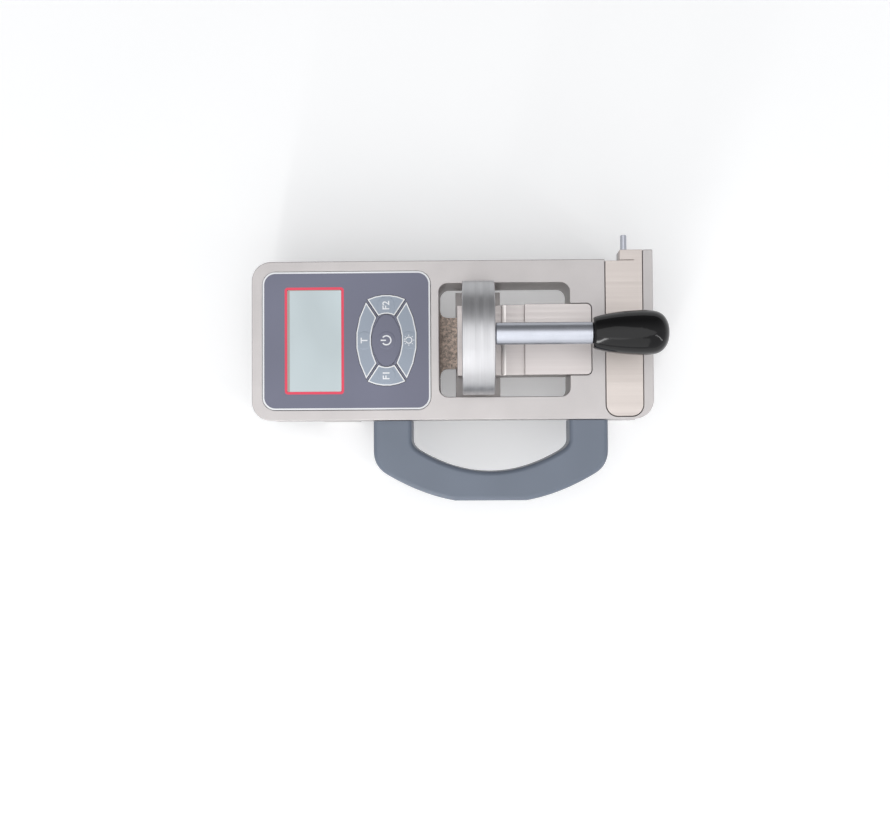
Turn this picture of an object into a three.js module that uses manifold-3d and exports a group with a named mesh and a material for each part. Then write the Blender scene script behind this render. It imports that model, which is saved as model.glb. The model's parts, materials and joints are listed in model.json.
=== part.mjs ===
// Handheld tension meter for lashing straps up to 50 mm wide.
// X runs along the frame, Y points away from the hand grip and Z rises out of the display face.
// The meter lies on the flat undersides of its two strap hooks. All lengths are millimetres.
import * as THREE from 'three';
import { mergeVertices } from 'three/addons/utils/BufferGeometryUtils.js';
import Module from 'manifold-3d';

const wasm = await Module();
wasm.setup();

// Milled frame
const frameWidth = 83.5;
const frameThickness = 32;
const frameRadius = 10;

// Window in the frame, where the lever and the load beam work
const windowLength = 68.3;
const windowWidth = 59.6;
const windowRadius = 4.7;
const windowToFoil = 4.75;

// Keypad foil and the bay below it
const foilLength = 87.6;
const foilWidth = 72;
const foilRadius = 6.5;
const foilMargin = 6;
const foilThickness = 0.75;
const foilProud = 0.25;
const foilToCarrier = 1.2;
const carrierThickness = 2;
const bayLedge = 2.4;
const bayDepth = 9;
const boardThickness = 1.6;

// Display
const displayInset = 27;
const displayLength = 54.4;
const displayWidth = 29.4;
const displayRadius = 1.5;
const lensThickness = 1.5;
const lensRim = 1.2;

// Keys, drawn from the middle of the key ring
const keyRingInset = 64.8;
const sideKeyOuter = 15.9;
const sideKeyInner = 8.2;
const sideKeyTipX = 10.6;
const sideKeyTipY = 20.1;
const sideKeyRootX = 5.3;
const sideKeyRootY = 12;
const endKeyOuter = 23.8;
const endKeyInner = 14;
const endKeyTipX = 9.9;
const endKeyTipY = 21.5;
const endKeyRootX = 4.2;
const endKeyRootY = 12.9;
const powerKeyInset = 0.8;
const keyProud = 0.35;
const keyThickness = 0.8;
const keyTravel = 0.4;
const keyNubRadius = 2;
const keyNubLength = 2.2;
const switchRadius = 2.6;
const domeSheetThickness = 0.5;

// Load beam
const beamWidth = 37;
const beamThickness = 27;
const beamInset = 9.45;
const beamLap = 11.15;
const beamEndRadius = 2.5;
const beamTongue = 6;
const neckWidth = 27.6;
const neckThickness = 5;
const neckFillet = 4.5;
const padLength = 41;
const padThickness = 11;
const floorDrop = 5;
const stepDrop = 3;
const stepStart = 23;
const stepLip = 1.3;
const stepLength = 9.7;
const stepRamp = 1.6;
const coatThickness = 0.6;
const coatGap = 0.3;

// Pivot of the lever
const pivotInset = 20.5;
const pivotHeight = 10.5;
const shaftRadius = 5;
const lugLength = 16;
const lugWidth = 33;
const lugSlot = 13.6;
const bushWall = 1;
const bushFlange = 1;

// Lever
const archRadius = 29.2;
const archWall = 9.8;
const archWidth = 16.4;
const rodRadius = 5.5;
const rodLength = 47.8;
const rodHeight = 22.3;
const rodSpigot = 3;
const spigotDepth = 8;
const knobLength = 37.4;
const knobRadius = 11.15;
const knobNeck = 7.3;

// Cam, plunger and pressure foot
const footStroke = 6;
const camWidth = 12;
const camMinimum = 6.5;
const plungerHead = 6;
const plungerHeadHeight = 3;
const plungerStem = 3;
const springWell = 6.6;
const springWellDepth = 20;
const springWire = 1.2;
const springRadius = 4.5;
const springTurns = 5;
const springSteps = 60;
const footLength = 58;
const footWidth = 24.5;
const footThickness = 9;
const footEdge = 3.5;
const footSocket = 4.5;
const guideRadius = 2.5;
const guideSpacing = 26;
const guideLength = 18;

// Strap hooks and the bars that carry the strap
const strapLift = 2;
const hookWidth = 20;
const hookArm = 7;
const hookSpine = 11.5;
const hookReach = 77;
const hookTip = 8;
const leftHookInset = 42.7;
const strapBarRadius = 5;

// Inlaid end strip, its nib and the strap stop pin
const stripWidth = 19.15;
const stripToBeam = 7.55;
const stripMargin = 5.5;
const stripFoot = 1.5;
const stripShoulder = 0.85;
const stripThickness = 6;
const stripRadius = 6;
const nibRise = 4.8;
const nibStep = 7.55;
const nibSlitLength = 7.3;
const nibSlitWidth = 0.45;
const nibSlitDepth = 0.8;
const nibThickness = 14;
const stopPinRadius = 1.65;
const stopPinOffset = 0.3;
const stopPinReach = 8;
const stopPinSeat = 10;

// Hand grip
const gripOffset = 7.45;
const gripBeyondWindow = 27.75;
const gripLeg = 20.3;
const gripThickness = 25.5;
const gripDrop = 42.6;
const gripFlat = 18.7;
const gripCorner = 7;
const gripSlantY = 28.6;
const gripShoulder = 16;
const gripInnerCorner = 13.6;
const gripInnerDrop = 27.3;
const gripBulge = 1.9;
const gripEdge = 2.5;
const gripFoot = 5;
const tongueLength = 11;
const tongueInset = 2;
const tongueScrewPitch = 8;
const tongueThickness = 8;

// Batteries, their door and the rear cover
const cellRadius = 7.25;
const cellLength = 49.5;
const cellPitch = 14.9;
const cellNipRadius = 2.7;
const cellNip = 1;
const contactThickness = 0.6;
const batteryWall = 3.2;
const batterySlack = 0.4;
const doorThickness = 2.6;
const doorTongue = 1.4;
const doorTongueThickness = 1.3;
const doorGripInset = 7.8;
const doorGrips = 5;
const doorGripWidth = 1.2;
const doorGripPitch = 2.6;
const doorGripDepth = 0.7;
const coverThickness = 2.6;
const coverLap = 4.6;

// Data socket
const portLength = 9;
const portWidth = 8;
const portHeight = 3;
const portOffset = 18;
const portWall = 0.5;

// Screws: shank radius, head radius, head height and socket radius
const smallScrew = { shank: 1.25, head: 2.4, height: 1.1, socket: 1 };
const mediumScrew = { shank: 2, head: 3.5, height: 4, socket: 1.7 };
const largeScrew = { shank: 2.5, head: 4.25, height: 5, socket: 2.3 };
const largeGrip = 12;
const mediumGrip = 8;
const smallGrip = 5;
const hookScrewPitch = 9;

// Fits
const gap = 0.3;
const slip = 0.12;
const over = 3;

// Facets
const coarseSides = 12;
const roundSides = 24;
const archSides = 64;
const hexSides = 6;
const cornerSteps = 5;
const gripSteps = 7;
const edgeSteps = 3;
const camSteps = 18;

// Places worked out from the sizes
const half = (length) => length / 2;
const windowStart = foilMargin + foilLength + windowToFoil;
const stripStart = windowStart + windowLength + beamLap + stripToBeam;
const frameLength = stripStart + stripWidth + stripMargin;
const frameLeft = -half(frameLength);
const frameRight = half(frameLength);
const frameBottom = -half(frameWidth);
const frameTop = half(frameWidth);
const frameBack = -frameThickness;
const foilX = frameLeft + foilMargin + half(foilLength);
const foilTop = foilProud;
const foilBack = foilTop - foilThickness;
const carrierTop = foilTop - foilToCarrier;
const carrierBack = carrierTop - carrierThickness;
const boardBack = -bayDepth + gap;
const boardTop = boardBack + boardThickness;
const displayX = frameLeft + foilMargin + displayInset;
const keyRingX = frameLeft + foilMargin + keyRingInset;
const windowLeft = frameLeft + windowStart;
const windowRight = windowLeft + windowLength;
const windowX = half(windowLeft + windowRight);
const pivotX = windowLeft + pivotInset;
const beamLeft = windowLeft + beamInset;
const beamRight = windowRight + beamLap;
const neckTop = neckThickness - beamThickness;
const padTop = padThickness - beamThickness;
const camMaximum = camMinimum + footStroke;
const camRate = footStroke / half(Math.PI);
const plungerTop = pivotHeight - camMaximum - gap;
const footTop = -beamThickness - footStroke - 2 * gap;
const footNose = footTop - footThickness;
const strapBarTop = footNose + strapLift;
const strapBarZ = strapBarTop - strapBarRadius;
const hookBack = strapBarZ - hookArm;
const stripX = frameLeft + stripStart + half(stripWidth);
const stopPinX = stripX + stopPinOffset;
const stopPinZ = -half(stripThickness);
const leftHookX = frameLeft + leftHookInset;
const gripX = windowX - gripOffset;
const gripHalf = half(windowLength) + gripBeyondWindow;
const gripSlantX = gripHalf - gripCorner;
const gripTop = frameBack + gripThickness;
const batteryLeft = frameLeft + batteryWall;
const batteryRight = batteryLeft + cellPitch + 2 * (cellRadius + batterySlack);
const batteryHalf = half(cellLength) + cellNip + contactThickness + 3 * gap;
const lowCellX = batteryLeft + batterySlack + cellRadius;
const bothSides = [-1, 1];
const cellZ = frameBack + doorThickness + cellRadius + 2 * gap;
const rodStart = pivotX + half(archWidth);
const knobStart = rodStart + gap + rodLength;
const knobEnd = knobStart + knobLength;

// Turns a closed three.js geometry into a solid.
function solid(geometry) {
  geometry.deleteAttribute('normal');
  geometry.deleteAttribute('uv');
  const merged = mergeVertices(geometry);
  return new wasm.Manifold(new wasm.Mesh({
    numProp: 3,
    vertProperties: Float32Array.from(merged.attributes.position.array),
    triVerts: Uint32Array.from(merged.index.array),
  }));
}

function geometryOf(manifold) {
  const mesh = manifold.getMesh();
  const geometry = new THREE.BufferGeometry();
  geometry.setAttribute('position', new THREE.BufferAttribute(mesh.vertProperties, 3));
  geometry.setIndex(new THREE.BufferAttribute(mesh.triVerts, 1));
  geometry.computeVertexNormals();
  return geometry;
}

const span = (a, b) => [Math.min(a, b), Math.max(a, b)];
const join = (parts) => parts.reduce((whole, part) => whole.add(part));
const cut = (whole, parts) => parts.reduce((rest, part) => rest.subtract(part), whole);

// A box between two corners given as ranges.
function block([x0, x1], [y0, y1], [z0, z1]) {
  const box = new THREE.BoxGeometry(x1 - x0, y1 - y0, z1 - z0);
  return solid(box.translate(half(x0 + x1), half(y0 + y1), half(z0 + z1)));
}

// A flat outline given a thickness along Z.
function slab(shape, [z0, z1], steps = cornerSteps) {
  const settings = { depth: z1 - z0, bevelEnabled: false, curveSegments: steps };
  return solid(new THREE.ExtrudeGeometry(shape, settings).translate(0, 0, z0));
}

// An outline drawn in X and Z, given a length along Y.
function bar(shape, [y0, y1], steps = cornerSteps) {
  const settings = { depth: y1 - y0, bevelEnabled: false, curveSegments: steps };
  const geometry = new THREE.ExtrudeGeometry(shape, settings).rotateX(half(Math.PI));
  return solid(geometry.translate(0, y1, 0));
}

function upright(radius, [z0, z1], x, y, sides = coarseSides) {
  const geometry = new THREE.CylinderGeometry(radius, radius, z1 - z0, sides);
  return solid(geometry.rotateX(half(Math.PI)).translate(x, y, half(z0 + z1)));
}

function crosswise(radius, [y0, y1], x, z, sides = coarseSides) {
  const geometry = new THREE.CylinderGeometry(radius, radius, y1 - y0, sides);
  return solid(geometry.translate(x, half(y0 + y1), z));
}

function lengthwise(radius, [x0, x1], y, z, sides = coarseSides) {
  const geometry = new THREE.CylinderGeometry(radius, radius, x1 - x0, sides);
  return solid(geometry.rotateZ(-half(Math.PI)).translate(half(x0 + x1), y, z));
}

function roundedOutline(x, y, length, width, radius) {
  const shape = new THREE.Shape();
  const [left, right] = [x - half(length), x + half(length)];
  const [low, high] = [y - half(width), y + half(width)];
  shape.moveTo(left + radius, low);
  shape.lineTo(right - radius, low);
  shape.absarc(right - radius, low + radius, radius, -half(Math.PI), 0);
  shape.lineTo(right, high - radius);
  shape.absarc(right - radius, high - radius, radius, 0, half(Math.PI));
  shape.lineTo(left + radius, high);
  shape.absarc(left + radius, high - radius, radius, half(Math.PI), Math.PI);
  shape.lineTo(left, low + radius);
  shape.absarc(left + radius, low + radius, radius, Math.PI, 3 * half(Math.PI));
  return shape;
}

function polygon(points) {
  return new THREE.Shape(points.map(([x, y]) => new THREE.Vector2(x, y)));
}

// Draws a curve that passes through an apex half way to its end.
function bow(shape, apex, end) {
  const start = shape.currentPoint;
  const control = apex.map((value, axis) => 2 * value - half((axis ? start.y : start.x) + end[axis]));
  shape.quadraticCurveTo(control[0], control[1], end[0], end[1]);
}

// A screw driven upwards, its head below the seat.
function screwUp({ shank, head, height, socket }, x, y, seat, grip) {
  const body = upright(shank, [seat - half(height), seat + grip], x, y);
  const cap = upright(head, [seat - height, seat], x, y);
  const drive = upright(socket, [seat - height - over, seat - half(height)], x, y, hexSides);
  return cut(join([body, cap]), [drive]);
}

// The hole for that screw: a clear bore above the seat and a wider one below it.
function screwHole({ shank, head }, x, y, seat, grip) {
  const bore = upright(shank + gap, [seat - over, seat + grip + gap], x, y);
  const mouth = upright(head + gap, [hookBack - over, seat + gap], x, y);
  return join([bore, mouth]);
}

// Places of the screws
const hookScrewPlaces = (x) => bothSides.map((side) => [
  x + side * half(hookScrewPitch),
  frameBottom + half(hookSpine),
]);
const hookPlaces = [...hookScrewPlaces(stripX), ...hookScrewPlaces(leftHookX)];
const hookScrewSeat = hookBack + largeScrew.height + gap;
const hookScrewGrip = frameBack - hookScrewSeat + largeGrip;
const padX = windowLeft - half(padLength);
const padScrewSeat = -beamThickness + largeScrew.height + gap;
const padScrewPlaces = bothSides.flatMap((sideX) => bothSides.map((sideY) => [
  padX + sideX * (half(padLength) - 2 * largeScrew.head),
  sideY * (half(beamWidth) - largeScrew.head - largeScrew.shank),
]));
const coverLeft = padX - half(padLength) - gap - coverLap;
const coverRight = windowLeft - gap;
const coverHalf = half(beamWidth) + gap + coverLap;
const coverScrewPlaces = [coverLeft, coverRight].flatMap((edge, side) => bothSides.map((sideY) => [
  edge + (side ? -1 : 1) * half(coverLap),
  sideY * (coverHalf - half(coverLap)),
]));
const coverScrewSeat = frameBack + smallScrew.height + gap;
const gripLegXs = bothSides.map((side) => gripX + side * (gripHalf - half(gripLeg)));
const tongueScrewPlaces = gripLegXs.flatMap((x) => bothSides.map((side) => [
  x + side * half(tongueScrewPitch),
  frameBottom + half(tongueLength),
]));
const tongueScrewSeat = frameBack + mediumScrew.height + gap;
const stripScrewPlaces = bothSides.map((side) => [stripX, side * half(windowWidth) - side * stripMargin]);
const stripScrewSeat = -stripThickness - mediumGrip - gap;

// One named piece for each place of a repeated piece
function copies(name, places, make, material) {
  return places.map((place, index) => [`${name}_${index + 1}`, make(place), material]);
}

function screws(name, kind, places, seat, grip) {
  return copies(name, places, ([x, y]) => screwUp(kind, x, y, seat, grip), darkSteel);
}

function screwHoles(kind, places, seat, grip) {
  return places.map(([x, y]) => screwHole(kind, x, y, seat, grip));
}

// Key outlines, grown by an allowance, which reaches further at their sharp tips
const keyTipShare = 1.4;

function sideKey(side, grow) {
  const x = (value) => keyRingX + side * value;
  const shape = new THREE.Shape();
  shape.moveTo(x(sideKeyRootX - grow), sideKeyRootY + grow);
  shape.lineTo(x(sideKeyTipX), sideKeyTipY + keyTipShare * grow);
  bow(shape, [x(sideKeyOuter + grow), 0], [x(sideKeyTipX), -sideKeyTipY - keyTipShare * grow]);
  shape.lineTo(x(sideKeyRootX - grow), -sideKeyRootY - grow);
  bow(shape, [x(sideKeyInner - grow), 0], [x(sideKeyRootX - grow), sideKeyRootY + grow]);
  return shape;
}

function endKey(side, grow) {
  const y = (value) => side * value;
  const shape = new THREE.Shape();
  shape.moveTo(keyRingX - endKeyRootX - grow, y(endKeyRootY - grow));
  bow(shape, [keyRingX, y(endKeyInner - grow)], [keyRingX + endKeyRootX + grow, y(endKeyRootY - grow)]);
  shape.lineTo(keyRingX + endKeyTipX + keyTipShare * grow, y(endKeyTipY));
  bow(shape, [keyRingX, y(endKeyOuter + grow)], [keyRingX - endKeyTipX - keyTipShare * grow, y(endKeyTipY)]);
  shape.lineTo(keyRingX - endKeyRootX - grow, y(endKeyRootY - grow));
  return shape;
}

function powerKey(grow) {
  const inset = powerKeyInset - grow;
  const [rootX, rootY] = [endKeyRootX - half(inset), endKeyRootY - 2 * inset];
  const shape = new THREE.Shape();
  shape.moveTo(keyRingX - rootX, rootY);
  bow(shape, [keyRingX - sideKeyInner + inset, 0], [keyRingX - rootX, -rootY]);
  bow(shape, [keyRingX, -endKeyInner + inset], [keyRingX + rootX, -rootY]);
  bow(shape, [keyRingX + sideKeyInner - inset, 0], [keyRingX + rootX, rootY]);
  bow(shape, [keyRingX, endKeyInner - inset], [keyRingX - rootX, rootY]);
  return shape;
}

const sideKeyX = half(sideKeyOuter + sideKeyInner);
const endKeyY = half(endKeyOuter + endKeyInner);
const keys = [
  { name: 'key_tare', outline: (grow) => sideKey(-1, grow), x: keyRingX - sideKeyX, y: 0 },
  { name: 'key_lamp', outline: (grow) => sideKey(1, grow), x: keyRingX + sideKeyX, y: 0 },
  { name: 'key_f2', outline: (grow) => endKey(1, grow), x: keyRingX, y: endKeyY },
  { name: 'key_f1', outline: (grow) => endKey(-1, grow), x: keyRingX, y: -endKeyY },
  { name: 'key_power', outline: powerKey, x: keyRingX, y: 0 },
];

// The milled frame with its nib, and everything that is cut from it
function frame() {
  const plate = slab(roundedOutline(0, 0, frameLength, frameWidth, frameRadius), [frameBack, 0]);
  const nibLeft = stripX - half(stripWidth) + nibStep;
  const nibSpan = [frameTop - frameRadius - over, frameTop + nibRise];
  const nib = block([nibLeft, frameRight], nibSpan, [-nibThickness, 0]);
  return cut(join([plate, nib]), [
    slab(roundedOutline(windowX, 0, windowLength, windowWidth, windowRadius), [frameBack - over, over]),
    ...frontBay(),
    ...beamCuts(),
    ...batteryCuts(),
    ...stripCuts(),
    ...gripCuts(),
    portHole(gap),
    ...screwHoles(largeScrew, hookPlaces, hookScrewSeat, hookScrewGrip),
    ...screwHoles(smallScrew, coverScrewPlaces, coverScrewSeat, smallGrip),
    ...screwHoles(mediumScrew, tongueScrewPlaces, tongueScrewSeat, mediumGrip + tongueThickness),
  ]);
}

function frontBay() {
  const carrier = roundedOutline(foilX, 0, foilLength - bayLedge, foilWidth - bayLedge,
    foilRadius - half(bayLedge));
  const well = roundedOutline(foilX, 0, foilLength - 3 * bayLedge, foilWidth - 3 * bayLedge,
    half(foilRadius));
  const foil = roundedOutline(foilX, 0, foilLength + 2 * gap, foilWidth + 2 * gap, foilRadius + gap);
  return [
    slab(foil, [foilBack - gap, over]),
    slab(carrier, [carrierBack - gap, over]),
    slab(well, [-bayDepth, over]),
  ];
}

function beamCuts() {
  const padSpace = half(beamWidth) + gap;
  const padLeft = padX - half(padLength) - gap;
  const endPocket = roundedOutline(half(windowX + beamRight + gap), 0, beamRight + gap - windowX,
    beamWidth + 2 * gap, beamEndRadius + gap);
  return [
    block([padLeft, windowX], [-padSpace, padSpace], [frameBack - over, padTop + gap]),
    slab(endPocket, [-beamTongue - 2 * gap, over]),
    block([coverLeft - gap, coverRight + over], [-coverHalf - gap, coverHalf + gap],
      [frameBack - over, frameBack + coverThickness + gap]),
    ...screwHoles(largeScrew, padScrewPlaces, padScrewSeat, padThickness),
  ];
}

function batteryCuts() {
  const doorHalf = batteryHalf + doorTongue;
  return [
    block([batteryLeft, batteryRight], [-batteryHalf, batteryHalf],
      [frameBack - over, cellZ + cellRadius + batterySlack]),
    block([frameLeft - over, batteryRight + doorTongue + gap], [-doorHalf - gap, doorHalf + gap],
      [frameBack - over, frameBack + doorThickness + gap]),
    block([frameLeft - over, batteryRight + doorTongue + gap],
      [-doorHalf - doorTongue - gap, doorHalf + doorTongue + gap],
      [frameBack + doorThickness - doorTongueThickness - gap, frameBack + doorThickness + gap]),
  ];
}

function stripCuts() {
  const bottom = frameBottom + stripFoot - gap;
  const length = stripWidth + 2 * gap;
  const top = frameTop + nibRise + over + stripRadius;
  const centre = half(bottom + top);
  const holes = stripScrewPlaces.flatMap(([x, y]) => [
    upright(mediumScrew.shank + gap, [stripScrewSeat - over, 0], x, y),
    upright(mediumScrew.head + gap, [frameBack - over, stripScrewSeat], x, y),
  ]);
  return [
    slab(roundedOutline(stripX, centre, length, top - bottom, stripRadius + gap),
      [-stripThickness - gap, over]),
    ...holes,
  ];
}

function gripCuts() {
  const reach = half(gripLeg) - tongueInset + gap;
  return gripLegXs.map((x) => block(
    [x - reach, x + reach],
    [frameBottom - over, frameBottom + tongueLength + gap],
    [frameBack - over, frameBack + tongueThickness + gap],
  ));
}

// The opening for the data socket through the left wall
function portHole(grow) {
  return block([frameLeft - over, frameLeft + portLength + grow],
    [portOffset - half(portWidth) - grow, portOffset + half(portWidth) + grow],
    [boardTop, boardTop + gap + portHeight + grow]);
}

function dataPort() {
  const [y0, y1] = [portOffset - half(portWidth), portOffset + half(portWidth)];
  const [z0, z1] = [boardTop + gap, boardTop + gap + portHeight];
  const shell = block([frameLeft + gap, frameLeft + portLength], [y0, y1], [z0, z1]);
  const mouth = block([frameLeft - over, frameLeft + portLength - 2 * portWall],
    [y0 + portWall, y1 - portWall], [z0 + portWall, z1 - portWall]);
  const tongue = block([frameLeft + 2 * gap, frameLeft + portLength],
    [y0 + portWall + half(portHeight), y1 - portWall - half(portHeight)],
    [z0 + half(portHeight - portWall), z0 + half(portHeight + portWall)]);
  return join([cut(shell, [mouth]), tongue]);
}

function keypadFoil() {
  const sheet = slab(roundedOutline(foilX, 0, foilLength, foilWidth, foilRadius), [foilBack, foilTop]);
  return cut(sheet, [
    slab(roundedOutline(displayX, 0, displayWidth, displayLength, displayRadius), [foilBack - over, over]),
    ...keys.map((key) => slab(key.outline(gap), [foilBack - over, over])),
  ]);
}

function keypadCarrier() {
  const margin = bayLedge + 2 * gap;
  const sheet = slab(roundedOutline(foilX, 0, foilLength - margin, foilWidth - margin,
    foilRadius - half(margin)), [carrierBack, carrierTop]);
  return cut(sheet, [
    slab(roundedOutline(displayX, 0, displayWidth, displayLength, displayRadius),
      [carrierBack - over, over]),
    ...keys.map((key) => upright(keyNubRadius + 2 * gap, [carrierBack - over, over], key.x, key.y)),
  ]);
}

function displayLens() {
  const rim = 2 * gap;
  return slab(roundedOutline(displayX, 0, displayWidth - rim, displayLength - rim, displayRadius),
    [foilTop - lensThickness, foilTop]);
}

// The display module has a raised bezel with the glass set into it
function displayModule() {
  const [low, high] = [boardTop + gap, foilTop - lensThickness - gap];
  const rim = 2 * gap;
  const body = slab(roundedOutline(displayX, 0, displayWidth - rim, displayLength - rim, displayRadius),
    [low, high]);
  const face = block(
    [displayX - half(displayWidth) + lensRim, displayX + half(displayWidth) - lensRim],
    [-half(displayLength) + lensRim, half(displayLength) - lensRim], [high - gap, high + over]);
  return cut(body, [face]);
}

function circuitBoard() {
  const margin = 3 * bayLedge + 2 * gap;
  return slab(roundedOutline(foilX, 0, foilLength - margin, foilWidth - margin, half(foilRadius)),
    [boardBack, boardTop]);
}

// One sheet on the circuit board carries a snap dome below each key
function domeSheet() {
  const top = keyBack() - keyNubLength - keyTravel - gap;
  const [reachX, reachY] = [sideKeyX + 2 * switchRadius, endKeyY + 2 * switchRadius];
  const sheet = slab(roundedOutline(keyRingX, 0, 2 * reachX, 2 * reachY, switchRadius),
    [boardTop + gap, boardTop + gap + domeSheetThickness]);
  return join([sheet, ...keys.map((each) => upright(switchRadius, [boardTop + gap, top], each.x, each.y))]);
}

const keyBack = () => keyProud - keyThickness;

function key({ outline, x, y }) {
  const cap = slab(outline(0), [keyBack(), keyProud]);
  const nub = upright(keyNubRadius, [keyBack() - keyNubLength, keyProud - half(keyThickness)], x, y);
  return join([cap, nub]);
}

// Side view of the beam: a clamped pad, a thin neck and a deep block with a tongue
function beamSide() {
  const stepX = beamLeft + stepStart;
  const padEnd = windowLeft;
  return polygon([
    [padX - half(padLength), -beamThickness],
    [windowRight - 2 * gap, -beamThickness],
    [windowRight - 2 * gap, -beamTongue],
    [beamRight, -beamTongue],
    [beamRight, 0],
    [stepX + stepLip + stepLength + stepRamp, 0],
    [stepX + stepLip + stepLength, -stepDrop],
    [stepX + stepLip, -stepDrop],
    [stepX, -floorDrop],
    [beamLeft, -floorDrop],
    [beamLeft, neckTop],
    [padEnd - neckFillet, neckTop],
    [padEnd - neckFillet, padTop],
    [padX - half(padLength), padTop],
  ]);
}

// Plan view of the beam: the neck is waisted with a round root at the pad
function beamPlan() {
  const [wide, thin] = [half(beamWidth), half(neckWidth)];
  const [root, end] = [windowLeft, padX - half(padLength)];
  const shape = new THREE.Shape();
  shape.moveTo(end, -wide);
  shape.lineTo(root, -wide);
  shape.quadraticCurveTo(root, -thin, root + neckFillet, -thin);
  shape.lineTo(beamLeft, -thin);
  shape.lineTo(beamLeft, -wide);
  shape.lineTo(beamRight - beamEndRadius, -wide);
  shape.absarc(beamRight - beamEndRadius, -wide + beamEndRadius, beamEndRadius, -half(Math.PI), 0);
  shape.absarc(beamRight - beamEndRadius, wide - beamEndRadius, beamEndRadius, 0, half(Math.PI));
  shape.lineTo(beamLeft, wide);
  shape.lineTo(beamLeft, thin);
  shape.lineTo(root + neckFillet, thin);
  shape.quadraticCurveTo(root, thin, root, wide);
  shape.lineTo(end, wide);
  return shape;
}

// Two lugs rise from the beam's floor to carry the lever's shaft
function beamLugs() {
  const radius = half(lugLength);
  const shape = new THREE.Shape();
  shape.moveTo(pivotX - radius, -floorDrop - gap);
  shape.lineTo(pivotX + radius, -floorDrop - gap);
  shape.lineTo(pivotX + radius, pivotHeight);
  shape.absarc(pivotX, pivotHeight, radius, 0, Math.PI);
  const lugs = bar(shape, [-half(lugWidth), half(lugWidth)], 2 * cornerSteps);
  const slot = block([pivotX - lugLength, pivotX + lugLength], [-half(lugSlot), half(lugSlot)],
    [-floorDrop, pivotHeight + lugLength]);
  return cut(lugs, [slot]);
}

const guideTop = () => footTop - footSocket + guideLength;

function loadBeam() {
  const side = bar(beamSide(), [-half(beamWidth), half(beamWidth)]);
  const plan = slab(beamPlan(), [-beamThickness - over, over]);
  const bushBore = shaftRadius + slip + bushWall + slip;
  const guides = bothSides.map((end) => upright(guideRadius + slip,
    [-beamThickness - over, guideTop() + footStroke + gap], pivotX, end * half(guideSpacing)));
  return cut(join([side.intersect(plan), beamLugs()]), [
    crosswise(bushBore, [-half(lugWidth) - over, half(lugWidth) + over], pivotX, pivotHeight, roundSides),
    upright(springWell, [-springWellDepth, -floorDrop + over], pivotX, 0, roundSides),
    upright(plungerStem + slip, [-beamThickness - over, 0], pivotX, 0),
    ...guides,
    ...screwHoles(largeScrew, padScrewPlaces, padScrewSeat, padThickness),
  ]);
}

// The sealing coat over the gauges covers the neck, and its edges follow the round roots
function gaugeCoat() {
  const grown = coatGap + coatThickness;
  const skin = slab(beamPlan(), [neckTop + coatGap, neckTop + grown]);
  return skin.intersect(block([windowLeft - neckFillet + gap, beamLeft - gap],
    [-half(beamWidth), half(beamWidth)], [neckTop, neckTop + grown + over]));
}

// A flanged bush in one lug; the flange keeps the arch off the lug
function pivotBush(side) {
  const [inner, outer] = [shaftRadius + slip, shaftRadius + slip + bushWall];
  const face = half(lugWidth) + slip;
  const outside = side * (face + bushFlange);
  const sleeve = crosswise(outer, span(side * half(lugSlot), outside), pivotX, pivotHeight, roundSides);
  const flange = crosswise(outer + bushFlange, span(side * face, outside), pivotX, pivotHeight, roundSides);
  const bore = crosswise(inner, [-archRadius, archRadius], pivotX, pivotHeight, roundSides);
  return cut(join([sleeve, flange]), [bore]);
}

// The arch is half a ring over the beam; its ends are round hubs on the shaft
function leverArch() {
  const inner = archRadius - archWall;
  const [x0, x1] = [pivotX - half(archWidth), pivotX + half(archWidth)];
  const ring = lengthwise(archRadius, [x0, x1], 0, pivotHeight, archSides);
  const upper = block([x0, x1], [-archRadius, archRadius], [pivotHeight, pivotHeight + archRadius + over]);
  const hubs = crosswise(half(archWidth), [-archRadius, archRadius], pivotX, pivotHeight, roundSides);
  const whole = join([ring.intersect(upper), ring.intersect(hubs)]);
  return cut(whole, [
    lengthwise(inner, [x0 - over, x1 + over], 0, pivotHeight, archSides),
    block([x0 - over, x1 + over], [-inner, inner], [-archRadius, pivotHeight]),
    crosswise(shaftRadius + slip, [-shaftHalf() - gap, shaftHalf() + gap], pivotX, pivotHeight, roundSides),
    lengthwise(rodSpigot + slip, [x1 - spigotDepth - gap, x1 + over], 0, pivotHeight + rodHeight),
  ]);
}

const shaftHalf = () => archRadius - half(archWall) + gap * 4;

function pivotShaft() {
  return crosswise(shaftRadius, [-shaftHalf(), shaftHalf()], pivotX, pivotHeight, roundSides);
}

function leverRod() {
  const z = pivotHeight + rodHeight;
  return join([
    lengthwise(rodRadius, [rodStart + gap, knobStart - gap], 0, z, roundSides),
    lengthwise(rodSpigot, [rodStart - spigotDepth, knobStart + 2 * spigotDepth], 0, z),
  ]);
}

// Half outline of the knob: shares of its length and of the rise from neck to belly
const knobShares = [
  [0, 0], [0.02, 0.16], [0.12, 0.42], [0.26, 0.68], [0.42, 0.88], [0.58, 0.98], [0.68, 1],
];
const knobTipShares = [[0.82, 0.95], [0.91, 0.8], [0.97, 0.53], [0.995, 0.22], [1, 0]];

function leverKnob() {
  const points = [
    [0, 0],
    ...knobShares.map(([along, rise]) => [along * knobLength, knobNeck + rise * (knobRadius - knobNeck)]),
    ...knobTipShares.map(([along, rise]) => [along * knobLength, rise * knobRadius]),
  ];
  const profile = points.map(([along, radius]) => new THREE.Vector2(radius, along));
  const turned = new THREE.LatheGeometry(profile, roundSides).rotateZ(-half(Math.PI));
  const z = pivotHeight + rodHeight;
  const socket = lengthwise(rodSpigot + slip, [knobStart - over, knobStart + 2 * spigotDepth + gap], 0, z);
  return cut(solid(turned.translate(knobStart, 0, z)), [socket]);
}

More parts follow.
